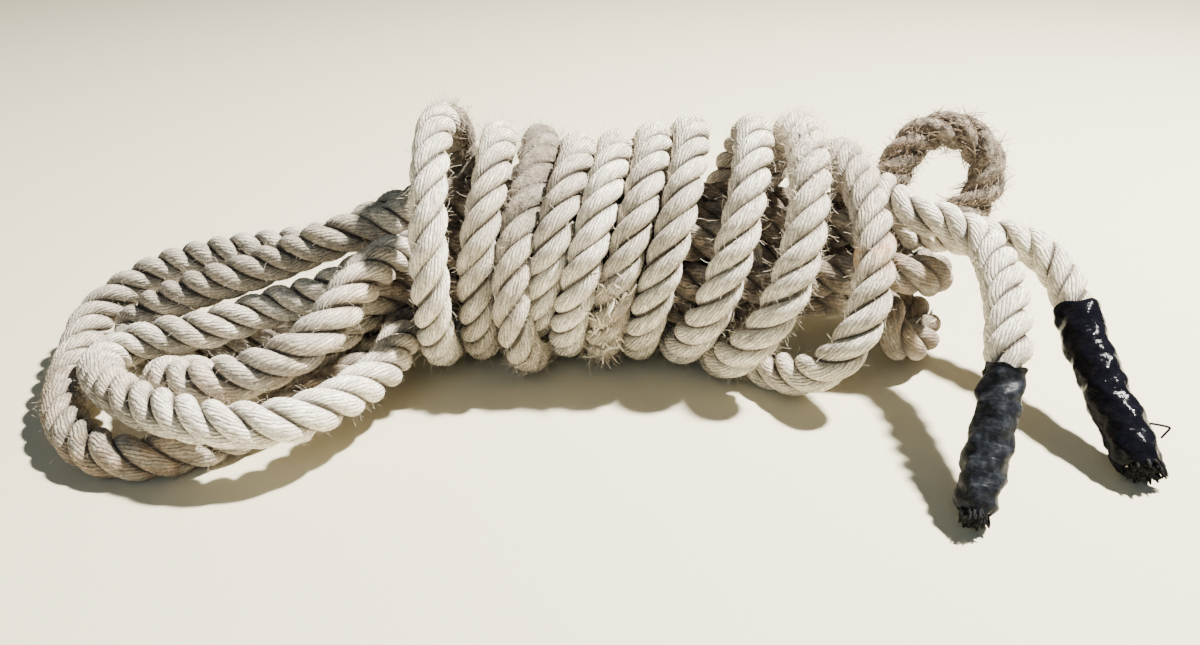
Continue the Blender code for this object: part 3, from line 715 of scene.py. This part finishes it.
def rope_look():
    """Coarse yarns that nearly follow the rope, grime and painted shade in the grooves, painted shade at
    strand and yarn edges, stains by stretch.
    """
    look = Look("rope", Roughness=0.80, Specular_IOR_Level=0.30, Sheen_Weight=0.12,
                Sheen_Roughness=0.5)
    lay = look.node("Attribute", "Vector", {"attribute_name": "lay"})
    parts = look.node("SeparateXYZ", Vector=lay)
    length, share, strand = (Signal(look, parts.socket.node.outputs[i]) for i in range(3))
    worn_and_shaded = look.node("Attribute", "Color", {"attribute_name": "wear_and_shade"})
    pale = Signal(look, worn_and_shaded.socket.node.outputs["Alpha"])
    dirt, brown, stain = (Signal(look, look.node("SeparateColor", Color=worn_and_shaded)
                                 .socket.node.outputs[i]) for i in range(3))
    felt = look.node("Attribute", "Fac", {"attribute_name": "felt"})
    place = look.node("TexCoord", "Object")
    slow = look.noise(place, 9.0, 3.0)
    patch = look.noise(place, 34.0, 4.0, 0.6)
    fine = look.noise(place, 420.0, 2.0, 0.6)
    ripple = look.noise(place, 90.0, 2.0, 0.5)
    yarn = (share + length * YARN_LEAN + (patch - 0.5) * 0.07 + (ripple - 0.5) * 0.07) * YARNS
    number = look.sum("FLOOR", yarn)
    within = look.sum("FRACT", yarn)
    ridge = look.sum("SINE", within * math.pi) ** 0.6
    tone = look.node("TexWhiteNoise", "Value",
                     Vector=look.vector(number, strand, look.sum("FLOOR", length * 26.0 + number * 0.37)))
    streak_at = look.vector(yarn * 1.5, length * 105.0 + number * 5.7, strand * 7.0)
    streak = look.noise(streak_at, 1.0, 3.0, 0.7)
    hairs = look.noise(place, 260.0, 3.0, 0.75)
    # Where the grooves between strands lie: painted shade there, with some grime.
    groove_dirt_and_shade = look.between(look.sum("ABSOLUTE", share) + (patch - 0.5) * 0.05, 0.245, 0.280)

    colour = look.mix(look.between(slow * 0.55 + patch * 0.45, 0.36, 0.62), SHADE, CLEAN)
    warm = look.noise(place, 17.0, 3.0, 0.6)
    colour = look.mix(look.between(warm, 0.48, 0.66) * (0.60 - pale * 0.30), colour, TAN)
    colour = look.mix(pale * 0.65, colour, BRIGHT)
    colour = look.mix(look.between(streak, 0.56, 0.80) * 0.60, colour, BRIGHT)
    colour = look.mix(felt * 0.65, colour, MATTED)
    # Grey grime and dark brown from the table; on the bundle's runs and in the recesses these are painted
    # shade.
    colour = look.mix(dirt * look.between(patch, 0.22, 0.55), colour, GREY)
    colour = look.mix(stain * look.between(patch, 0.42, 0.56), colour, RUST)
    clump = look.noise(place, 75.0, 4.0, 0.7)
    colour = look.mix(brown * look.between(slow + clump, 0.80, 1.10), colour, BROWN)
    colour = look.mix(brown * 0.5, colour, BROWN)
    fleck = look.between(streak, 0.40, 0.62)
    colour = look.mix((1 - fleck) * 0.40, colour, TAN)
    light = 0.62 + tone * 0.42 + fleck * 0.62 * (1 - felt * 0.6)
    # Painted shade in the valleys between yarns: each yarn darker away from its crest.
    deep = 0.20 + 0.46 * look.between(streak + ripple * 0.6, 0.60, 1.05)
    light = light * (1 - deep * (1 - ridge) * (1 - felt) - 0.5 * felt * (1 - hairs * 1.6))
    light = light + (fine - 0.5) * 1.3
    light = light * (1 - (felt * 0.30 + brown * 0.45) * look.between(clump, 0.42, 0.60))
    speck = look.noise(place, 620.0, 1.0)
    colour = look.mix(look.between(speck, 0.69, 0.74) * 0.55, colour, BROWN)
    # Painted shade: each strand darker towards its edges, so that it looks round.
    edge = look.between(look.sum("ABSOLUTE", share), 0.12, 0.27) * 0.30
    light = light * (1 - edge) + pale * 0.18
    colour = look.mix(1.0, colour, look.vector(light, light, light), "MULTIPLY")
    # The grooves painted dark: painted shade with some grime, less where felt fills them.
    colour = look.mix(groove_dirt_and_shade * (1 - felt * 0.9) * (0.95 - pale * 0.25), colour, GROOVE_DIRT_AND_SHADE)
    look.set("Base Color", colour)
    laid = ridge * 0.50 + streak * 0.75 + tone * 0.25
    look.bump(laid * (1 - felt) + hairs * 1.9 * felt, 0.0018, 1.0)
    return look.material


ROPE_LOOK = rope_look()


def dress(obj, material, *nodes, slot="rope"):
    """Give a piece its material, hang it on the root body and hide the parts it replaces."""
    obj.data.materials.clear()
    obj.data.materials.append(material)
    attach(obj, "root")
    if nodes:
        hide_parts(*nodes)
    return obj


def fibre_nodes():
    """Fibres that stand off a surface, as many as its skin attribute asks for."""
    tree = bpy.data.node_groups.new("loose fibres", "GeometryNodeTree")
    sockets = (("Surface", "Geometry", None), ("Density", "Float", 1000.0),
               ("Length", "Float", 0.01), ("Thickness", "Float", 0.0003),
               ("Lift", "Float", 0.5), ("Spread", "Float", 0.5), ("Curl", "Float", 0.3),
               ("Seed", "Int", 1), ("Material", "Material", None))
    for label, kind, value in sockets:
        socket = tree.interface.new_socket(label, in_out="INPUT",
                                           socket_type="NodeSocket" + kind)
        if value is not None:
            socket.default_value = value
    tree.interface.new_socket("Fibres", in_out="OUTPUT", socket_type="NodeSocketGeometry")

    def add(kind, settings=None, **inputs):
        node = tree.nodes.new(kind)
        for key, value in (settings or {}).items():
            setattr(node, key, value)
        for key, value in inputs.items():
            key = int(key[1:]) if key[1:].isdigit() else key.replace("_", " ")
            if isinstance(value, bpy.types.NodeSocket):
                tree.links.new(value, node.inputs[key])
            else:
                node.inputs[key].default_value = value
        return node

    def multiply(first, second):
        return add("ShaderNodeMath", {"operation": "MULTIPLY"}, _0=first, _1=second).outputs[0]

    def scaled(vector, amount):
        return add("ShaderNodeVectorMath", {"operation": "SCALE"},
                   Vector=vector, Scale=amount).outputs[0]

    def random(seed_shift, low, high):
        seed = add("ShaderNodeMath", {"operation": "ADD"}, _0=given["Seed"], _1=seed_shift)
        node = add("FunctionNodeRandomValue", {"data_type": "FLOAT_VECTOR"},
                   _0=(low,) * 3, _1=(high,) * 3)
        tree.links.new(seed.outputs[0], node.inputs["Seed"])
        return node.outputs["Value"]

    given = add("NodeGroupInput").outputs
    skin = add("GeometryNodeInputNamedAttribute", {"data_type": "FLOAT"}, Name="skin")
    points = add("GeometryNodeDistributePointsOnFaces", Mesh=given["Surface"],
                 Density=multiply(given["Density"], skin.outputs["Attribute"]),
                 Seed=given["Seed"])
    along = add("GeometryNodeInputNamedAttribute", {"data_type": "FLOAT_VECTOR"}, Name="along")
    sway = add("ShaderNodeSeparateXYZ", Vector=random(1, -1.0, 1.0)).outputs["X"]
    flat = scaled(along.outputs["Attribute"], sway)
    lifted = scaled(points.outputs["Normal"], given["Lift"])
    strayed = scaled(random(2, -1.0, 1.0), given["Spread"])
    heading = add("ShaderNodeVectorMath", {"operation": "ADD"}, _0=flat, _1=lifted)
    heading = add("ShaderNodeVectorMath", {"operation": "ADD"},
                  _0=heading.outputs[0], _1=strayed)
    spin = add("FunctionNodeEulerToRotation", Euler=random(3, 0.0, math.tau))
    turned = add("FunctionNodeAlignRotationToVector", {"axis": "Z"},
                 Rotation=spin.outputs[0], Vector=heading.outputs[0])
    bend = add("ShaderNodeCombineXYZ", X=given["Curl"], Z=0.9)
    line = add("GeometryNodeCurveQuadraticBezier", Resolution=3, Start=(0.0, 0.0, -0.05),
               Middle=(0.0, 0.0, 0.5), End=bend.outputs[0])
    progress = add("GeometryNodeSplineParameter").outputs["Factor"]
    taper = add("ShaderNodeMapRange", Value=progress, _3=1.0, _4=0.25)
    tapered = add("GeometryNodeSetCurveRadius", Curve=line.outputs[0],
                  Radius=taper.outputs[0])
    slim = add("ShaderNodeMath", {"operation": "DIVIDE"},
               _0=multiply(given["Thickness"], 0.5), _1=given["Length"])
    ring = add("GeometryNodeCurvePrimitiveCircle", Resolution=3, Radius=slim.outputs[0])
    fibre = add("GeometryNodeCurveToMesh", Curve=tapered.outputs[0],
                Profile_Curve=ring.outputs[0], Fill_Caps=True)
    length = add("ShaderNodeSeparateXYZ", Vector=random(4, 0.45, 1.55)).outputs["X"]
    size = multiply(given["Length"], length)
    placed = add("GeometryNodeInstanceOnPoints", Points=points.outputs["Points"],
                 Instance=fibre.outputs[0], Rotation=turned.outputs[0],
                 Scale=size)
    real = add("GeometryNodeRealizeInstances", Geometry=placed.outputs[0])
    spot = add("ShaderNodeSeparateXYZ", Vector=add("GeometryNodeInputPosition").outputs[0])
    above = add("ShaderNodeMath", {"operation": "MAXIMUM"},
                _0=spot.outputs["Z"], _1=FLOOR_CLEAR)
    spot = add("ShaderNodeCombineXYZ", X=spot.outputs["X"], Y=spot.outputs["Y"],
               Z=above.outputs[0])
    kept = add("GeometryNodeSetPosition", Geometry=real.outputs[0], Position=spot.outputs[0])
    made = add("GeometryNodeSetMaterial", Geometry=kept.outputs[0],
               Material=given["Material"])
    add("NodeGroupOutput", _0=made.outputs[0])
    return tree


LOOSE_FIBRES = fibre_nodes()


def fibre_look():
    """Dry fibre, as pale or brown as the rope it stands on."""
    look = Look("loose_fibre", Roughness=0.75, Specular_IOR_Level=0.3)
    worn_and_shaded = look.node("Attribute", "Color", {"attribute_name": "wear_and_shade"})
    brown = Signal(look, look.node("SeparateColor", Color=worn_and_shaded).socket.node.outputs[1])
    place = look.node("TexCoord", "Object")
    dirt = Signal(look, brown.socket.node.outputs[0])
    tone = look.noise(place, 160.0, 1.0)
    colour = look.mix(look.between(tone, 0.40, 0.60), (0.46, 0.37, 0.26), (0.82, 0.75, 0.62))
    # Grey and dark brown from the rope's marks, painted shade among them on the bundle's runs.
    colour = look.mix(dirt * 0.8, colour, (0.42, 0.38, 0.32))
    look.set("Base Color", look.mix(brown * 0.85, colour, (0.22, 0.15, 0.10)))
    return look.material


FIBRE_LOOK = fibre_look()


def grow(name, surface, material, **inputs):
    """Loose fibres on a surface, as an object of their own."""
    fibres = bpy.data.objects.new(name, surface.data)
    bpy.context.scene.collection.objects.link(fibres)
    step = fibres.modifiers.new("fibres", "NODES")
    step.node_group = LOOSE_FIBRES
    for item in LOOSE_FIBRES.interface.items_tree:
        if item.item_type == "SOCKET" and item.name in inputs:
            step[item.identifier] = inputs[item.name]
        if item.item_type == "SOCKET" and item.name == "Material":
            step[item.identifier] = material
    graph = bpy.context.evaluated_depsgraph_get()
    mesh = bpy.data.meshes.new_from_object(fibres.evaluated_get(graph))
    fibres.modifiers.clear()
    fibres.data = mesh
    return fibres


TAPE_SIDES = 60
TAPE_RINGS = 130
TAPE_PITCH = 0.0115            # the tape is wound with this lead
TAPE_LAP = 0.0005
TAPE_BULGE = {"end_a": 0.0009, "end_b": 0.0006}
TAPE_MOUTH = 0.010             # this much of it is gathered in at the tip
TAPE_CLOSES = {"end_a": 0.42, "end_b": 0.25}


def tape_place(end, from_tip):
    """How far along the rope a place is that is this far from one of its tips."""
    return from_tip if end == "end_b" else rope.length - from_tip


def wind_tape(name, end, seed):
    """A sleeve of tape over the strands: laps, their bulges through it, gathered ends."""
    dice = np.random.default_rng(seed)
    share = np.linspace(0, 1, TAPE_RINGS)
    angle = np.arange(TAPE_SIDES) / TAPE_SIDES * math.tau
    edge = sum(dice.normal(0, 0.0011) * np.sin(k * angle + dice.uniform(0, math.tau))
               for k in (1, 2, 3, 5, 7))
    mouth = sum(dice.normal(0, 0.0016) * np.sin(k * angle + dice.uniform(0, math.tau))
                for k in (1, 2, 4, 6, 9))
    length = TAPE_LENGTH[end]
    far = (END_STICKS_OUT + length * (1 - share)[:, None]
           + edge * smooth((0.18 - share) / 0.18)[:, None]
           + mouth * smooth((share - 0.90) / 0.10)[:, None])
    flat = far.ravel()
    where = tape_place(end, flat)
    centre, ahead, side = rope.at(where), rope.at(where, rope.ahead), rope.at(where, rope.side)
    up = np.cross(ahead, side)
    around = np.tile(angle, TAPE_RINGS)
    gather = smooth(1 - flat / (END_STICKS_OUT + TAPE_MOUTH))
    lobes = np.cos(STRANDS * (around - where / LAY * math.tau))
    bulge = TAPE_BULGE[end] * (lobes * (1 + 0.9 * waver(flat, seed + 1, 0.06)) - 0.15)
    bulge = bulge + 0.0013 * waver(flat + 0.014 * np.cos(around - 0.9), seed + 3, 0.052)
    lap = (flat / TAPE_PITCH + around / math.tau) % 1.0
    crease = sum(dice.normal(0, 0.00022) * np.sin(k * around + flat * dice.normal(0, 260)
                                                 + dice.uniform(0, math.tau))
                 for k in (2, 4, 5, 7, 9, 11))
    folds = 0.0011 * np.sin(7 * around + 2 * np.sin(2 * around)) * gather
    lip = 0.0016 * smooth(1 - (1 - flat / (END_STICKS_OUT + length)) / 0.02)
    lip = lip * smooth(np.cos(around - dice.uniform(0, math.tau)) * 1.5)
    outer = (TAPED_R[end] + GAP + TAPE_WALL) * (1 + 0.035 * waver(flat, seed + 2, 0.09))
    outer = outer + bulge * (1 - gather) + TAPE_LAP * lap + crease + folds + lip
    outer = outer * (1 - TAPE_CLOSES[end] * gather)
    inner = np.minimum(outer - 0.0005, rope.thickness(where) + GAP + 0.0002)
    verts = []
    for radius in (outer, inner):
        out = np.cos(around)[:, None] * side + np.sin(around)[:, None] * up
        ring = centre + radius[:, None] * out
        ring[:, 2] = np.maximum(ring[:, 2], FLOOR_CLEAR)
        verts.append(ring)
    base = np.arange(TAPE_RINGS - 1)[:, None] * TAPE_SIDES
    here = base + np.arange(TAPE_SIDES)
    beside = base + (np.arange(TAPE_SIDES) + 1) % TAPE_SIDES
    skin = np.stack([here, here + TAPE_SIDES, beside + TAPE_SIDES, beside], -1).reshape(-1, 4)
    under = TAPE_RINGS * TAPE_SIDES
    first = np.arange(TAPE_SIDES)
    follow = (first + 1) % TAPE_SIDES
    last = (TAPE_RINGS - 1) * TAPE_SIDES
    faces = [skin, skin[:, ::-1] + under,
             np.stack([first, follow, follow + under, first + under], -1),
             np.stack([last + first, last + first + under, last + follow + under,
                       last + follow], -1)]
    faces = np.concatenate(faces)
    if end == "end_b":
        faces = faces[:, ::-1]
    mesh = bpy.data.meshes.new(name)
    mesh.from_pydata(np.concatenate(verts).tolist(), [], faces.tolist())
    mesh.shade_smooth()
    made = bpy.data.objects.new(name, mesh)
    bpy.context.scene.collection.objects.link(made)
    return made


def tape_look(name, colour, film, polish, ruck):
    """Black tape: wrinkled where it was pulled round the strands, more or less dull."""
    look = Look(name, IOR=1.14)
    place = look.node("TexCoord", "Object")
    broad = look.noise(place, 55.0, 2.0, 0.5)
    wrinkle = look.noise(look.node("Mapping", Vector=place, Scale=(1.0, 1.0, 2.8)), 150.0,
                         3.0, 0.55)
    scratch = look.noise(look.node("Mapping", Vector=place, Scale=(3.0, 3.0, 0.35),
                                   Rotation=(0.3, 0.2, 0.4)), 420.0, 2.0, 0.6)
    dusty = look.noise(place, 170.0, 4.0, 0.65)
    look.set("Base Color", look.mix(look.between(dusty, 0.40, 0.80), colour, film))
    look.set("Roughness", polish + broad * 0.10 + scratch * 0.06)
    look.bump(wrinkle * ruck + scratch * 0.05 + broad * 0.8, 0.0016, 0.9)
    return look.material


TAPE_B_LOOK = tape_look("glossy_tape", (0.003, 0.003, 0.005), (0.005, 0.005, 0.008),
                        0.06, 0.50)


def tubes(name, lines, normals, widths, sides=5):
    """Closed thin tubes of one object, each round its own line of points."""
    verts, faces = [], []
    spokes = np.arange(sides) / sides * math.tau
    for line, normal, width in zip(lines, normals, widths):
        ahead = np.gradient(line, axis=0)
        ahead /= np.linalg.norm(ahead, axis=1)[:, None]
        across = np.cross(ahead, normal)
        across /= np.linalg.norm(across, axis=1)[:, None]
        over = np.cross(ahead, across)
        ring = (line[:, None] + width[:, None, None]
                * (np.cos(spokes)[:, None] * across[:, None]
                   + np.sin(spokes)[:, None] * over[:, None]))
        ring[..., 2] = np.maximum(ring[..., 2], FLOOR_CLEAR)
        base = len(verts) * len(line) * sides
        verts.append(ring.reshape(-1, 3))
        for i in range(len(line) - 1):
            for j in range(sides):
                a, b = base + i * sides + j, base + i * sides + (j + 1) % sides
                faces.append((a, b, b + sides, a + sides))
        faces.append(tuple(base + j for j in reversed(range(sides))))
        faces.append(tuple(base + (len(line) - 1) * sides + j for j in range(sides)))
    mesh = bpy.data.meshes.new(name)
    mesh.from_pydata(np.concatenate(verts).tolist(), [], faces)
    mesh.shade_smooth()
    made = bpy.data.objects.new(name, mesh)
    bpy.context.scene.collection.objects.link(made)
    return made


def tuft(name, roots, headings, lengths, thickness, curl, seed):
    """Loose yarn ends that taper and curl away from where they start."""
    dice = np.random.default_rng(seed)
    lines, normals, widths = [], [], []
    steps = np.linspace(0, 1, 6)
    for root, heading, length, thick in zip(roots, headings, lengths, thickness):
        heading = heading / np.linalg.norm(heading)
        veer = np.cross(heading, dice.normal(size=3))
        veer /= np.linalg.norm(veer)
        other = np.cross(heading, veer)
        bend = curl * length * dice.uniform(0.4, 1.0)
        wave = 0.12 * length * np.sin(steps * 5 + dice.uniform(0, math.tau)) * steps
        lines.append(root + heading * (steps * length)[:, None]
                     + veer * (bend * steps**2)[:, None] + other * wave[:, None])
        normals.append(other)
        widths.append(thick / 2 * (1 - 0.65 * steps**2) * (1 + 0.15 * dice.normal(size=6)))
    return tubes(name, lines, normals, widths)


def yarn_look(name, colour, dark, roughness=0.85):
    """Loose yarn of one colour, uneven."""
    look = Look(name, Roughness=roughness, Specular_IOR_Level=0.25)
    place = look.node("TexCoord", "Object")
    uneven = look.noise(place, 300.0, 3.0, 0.6)
    look.set("Base Color", look.mix(look.between(uneven, 0.35, 0.65), dark, colour))
    look.bump(uneven, 0.0006, 0.8)
    return look.material


TARRY_LOOK = yarn_look("black_fibre", (0.010, 0.010, 0.011), (0.003, 0.003, 0.0035), 0.95)


BROKEN_LOOK = yarn_look("broken_yarn", (0.90, 0.83, 0.70), (0.48, 0.38, 0.27))
BROWN_YARN_LOOK = yarn_look("brown_yarn", (0.40, 0.31, 0.22), (0.10, 0.065, 0.042))


def fray(name, start, stop, facing, spread, count, length, thick, seed):
    """Broken yarns on one side of a stretch of the rope, lying along it and off it."""
    dice = np.random.default_rng(seed)
    where = dice.uniform(start, stop, count)
    centre, ahead = rope.at(where), rope.at(where, rope.ahead)
    facing = np.array(facing, float)
    face = facing - ahead * (ahead @ facing)[:, None]
    face /= np.linalg.norm(face, axis=1)[:, None]
    beside = np.cross(ahead, face)
    swing = dice.normal(0, spread / 2, count)[:, None]
    out = np.cos(swing) * face + np.sin(swing) * beside
    roots = centre + out * (rope.thickness(where) * dice.uniform(0.74, 0.92, count))[:, None]
    run = np.sign(dice.normal(size=count)) * dice.uniform(0.5, 1.0, count)
    headings = ahead * run[:, None] + 0.22 * out + 0.30 * dice.normal(size=(count, 3))
    lengths = length * dice.uniform(0.4, 1.5, count)
    thickness = thick * dice.uniform(0.5, 1.4, count)
    return tuft(name, roots, headings, lengths, thickness, 0.55, seed + 1)


def cut_end(name, end, count, fill, longest, slant, seed):
    """The yarns where the rope was cut through, blackened, short and uneven."""
    dice = np.random.default_rng(seed)
    tip = tape_place(end, 0.0)
    start = rope.at([tape_place(end, 0.010)])[0]
    out = rope.at([tip])[0] - start
    out /= np.linalg.norm(out)
    side = rope.at([tip], rope.side)[0]
    up = np.cross(out, side)
    radius = rope.thickness(np.array([tip]))[0] * fill
    spots = radius * np.sqrt(dice.uniform(0, 1, count))
    turn = dice.uniform(0, math.tau, count)
    flat = (spots * np.cos(turn))[:, None] * side + (spots * np.sin(turn))[:, None] * up
    roots = start + flat
    headings = out + 0.22 * flat / radius + 0.10 * dice.normal(size=(count, 3))
    lengths = longest * dice.uniform(0.62, 1.0, count) + slant * flat[:, 0]
    lengths = np.maximum(lengths, 0.006)
    thickness = dice.uniform(0.0034, 0.0054, count)
    return tuft(name, roots, headings, lengths, thickness, 0.18, seed + 1)



end_b_stop = rope.place("leg_top_front") - GAP
end_b = lay_strands("end_b_strands", STRANDS_SHORT, end_b_stop)
dress(end_b, ROPE_LOOK, "end_b", slot="rope_end")
tape_b = wind_tape("wound_tape_b", "end_b", 12)
dress(tape_b, TAPE_B_LOOK, "tape_b", slot="black_tape")
cut_b = cut_end("cut_b", "end_b", 150, 0.88, 0.0155, 0.35, 31)
dress(cut_b, TARRY_LOOK, slot="rope_end")

# ------------------------------------------------------------------ bundle
# Nine runs of the rope lie side by side inside the turns.
for name in ("top_front", "back_low", "front_low", "front_middle", "middle",
             "front_high", "low", "top_back", "back_high"):
    run = lay_strands("run_" + name, rope.place("leg_" + name), rope.place("leg_" + name, 1.0))
    dress(run, ROPE_LOOK, "hank")

# ------------------------------------------------------------------ long bights
# Four bights splayed at the left, the outer two on the floor.
for name in ("back_bight", "inner_bight", "front_bight", "outer_bight"):
    bight = lay_strands(name, rope.place(name), rope.place(name, 1.0))
    dress(bight, ROPE_LOOK, "hank")

# ------------------------------------------------------------------ short bights
# Three that turn back close to the bundle, and one that stands up in a ring.
for name in ("lower_bight", "upper_bight", "short_bight", "standing_bight"):
    bight = lay_strands(name, rope.place(name), rope.place(name, 1.0))
    dress(bight, ROPE_LOOK, "hank")

# ------------------------------------------------------------------ turns
# The rope's own last ten turns hold the bundle.
winding = lay_strands("turns_left", rope.place("winding_start"), rope.turn(6.0))
dress(winding, ROPE_LOOK, "hank")
winding = lay_strands("turns_right", rope.turn(6.0), rope.place("end_a"))
dress(winding, ROPE_LOOK, "hank")

# ------------------------------------------------------------------ loose end A
# The last turn goes over into it. It drapes to the floor in front of the hank.
end_a = lay_strands("end_a_strands", rope.place("end_a"), rope.length - STRANDS_SHORT)
dress(end_a, ROPE_LOOK, "end_a", slot="rope_end")
tape_a = wind_tape("wound_tape_a", "end_a", 5)
TAPE_A_LOOK = tape_look("dull_tape", (0.0075, 0.0085, 0.0110), (0.030, 0.034, 0.042),
                        0.26, 0.35)
dress(tape_a, TAPE_A_LOOK, "tape_a", slot="black_tape")
cut_a = cut_end("cut_a", "end_a", 110, 0.70, 0.0170, 0.0, 41)
dress(cut_a, TARRY_LOOK, slot="rope_end")

# ------------------------------------------------------------------ loose fibres
# Fine fibres stand off the whole rope, and many more where it is worn.
# Each piece of rope, how long its fibres are and how thick.
FIBRES = {"back_bight": (0.0055, 0.00017), "inner_bight": (0.0055, 0.00017),
          "front_bight": (0.0055, 0.00017), "outer_bight": (0.0055, 0.00017),
          "turns_left": (0.0075, 0.00020), "turns_right": (0.0075, 0.00020),
          "end_a_strands": (0.0060, 0.00018), "end_b_strands": (0.0060, 0.00018),
          "standing_bight": (0.0075, 0.00015)}
for number, (piece, (long, thick)) in enumerate(FIBRES.items()):
    fibres = grow("fibres_" + piece, bpy.data.objects[piece], FIBRE_LOOK, Density=80000.0,
                  Length=long, Thickness=thick, Lift=0.32, Spread=0.40, Curl=0.75,
                  Seed=number * 10 + 3)
    dress(fibres, FIBRE_LOOK)

# ------------------------------------------------------------------ broken thread
# One stiff dark thread has pulled out from under the tape of end B.
THREAD_R = 0.0010
thread_line = rope.at([tape_place("end_b", 0.040)])[0] + np.array([
    (0.0130, 0.0, 0.0045), (0.0210, -0.001, 0.0045), (0.0290, -0.002, 0.0035),
    (0.0350, -0.003, 0.0022), (0.0345, -0.004, 0.0000), (0.0290, -0.006, -0.0060)])
thread_line = cubic_through(np.arange(6), thread_line, np.linspace(0, 5, 31))
thread = tubes("stray_thread", [thread_line], [(0.0, 1.0, 0.0)], [np.full(31, THREAD_R)])
dress(thread, TARRY_LOOK, slot="rope_end")

# ------------------------------------------------------------------ broken yarns
# Whole yarns have broken where the rope has chafed, most of all on the sixth turn.
turn = rope.turn
standing = rope.place("standing_bight", 0.06), rope.place("leg_back_high", 0.04)
frays = (
    ("sixth_turn", turn(6.24), turn(6.46), (-0.1, -1, 0.1), 1.3, 110, 0.015, 0.0021),
    ("ninth_turn", turn(8.90), turn(9.14), (0.3, -0.6, 1), 1.6, 60, 0.008, 0.0012),
    ("first_turn", turn(0.70), turn(0.98), (1, -0.3, 0.4), 1.8, 70, 0.010, 0.0010),
    ("third_turn", turn(3.36), turn(3.50), (0.5, -1, -0.2), 1.4, 36, 0.009, 0.0014),
    ("tenth_turn", turn(9.90), turn(10.06), (0.2, -0.6, 1), 1.6, 36, 0.008, 0.0011),
    ("low_bight", rope.place("lower_bight"), rope.place("lower_bight", 1.0),
     (0.6, -1, 0.3), 1.6, 24, 0.008, 0.0016))
for number, (name, *place) in enumerate(frays):
    dress(fray("broken_" + name, *place, seed=50 + number), BROKEN_LOOK)
brown = fray("broken_standing", *standing, (0, -1, 0.2), 4.0, 1100, 0.014, 0.0008, seed=60)
dress(brown, BROWN_YARN_LOOK)

# ------------------------------------------------------------------ floor
floor_data = bpy.data.meshes.new("floor")
half = FLOOR_SIZE / 2
floor_data.from_pydata([(-half, -half, 0), (half, -half, 0), (half, half, 0), (-half, half, 0)],
                       [], [(0, 1, 2, 3)])
floor = bpy.data.objects.new("floor", floor_data)
bpy.context.scene.collection.objects.link(floor)
floor_look = Look("floor", Base_Color=(0.69, 0.635, 0.465, 1.0), Roughness=0.85)
floor_data.materials.append(floor_look.material)

# ------------------------------------------------------------------ points along the loose ends
end_a_path = rope.at(np.arange(rope.place("end_a"), rope.length, 0.012))
end_b_path = rope.at(np.arange(end_b_stop, 0, -0.012))
rope.length - rope.place("end_a")
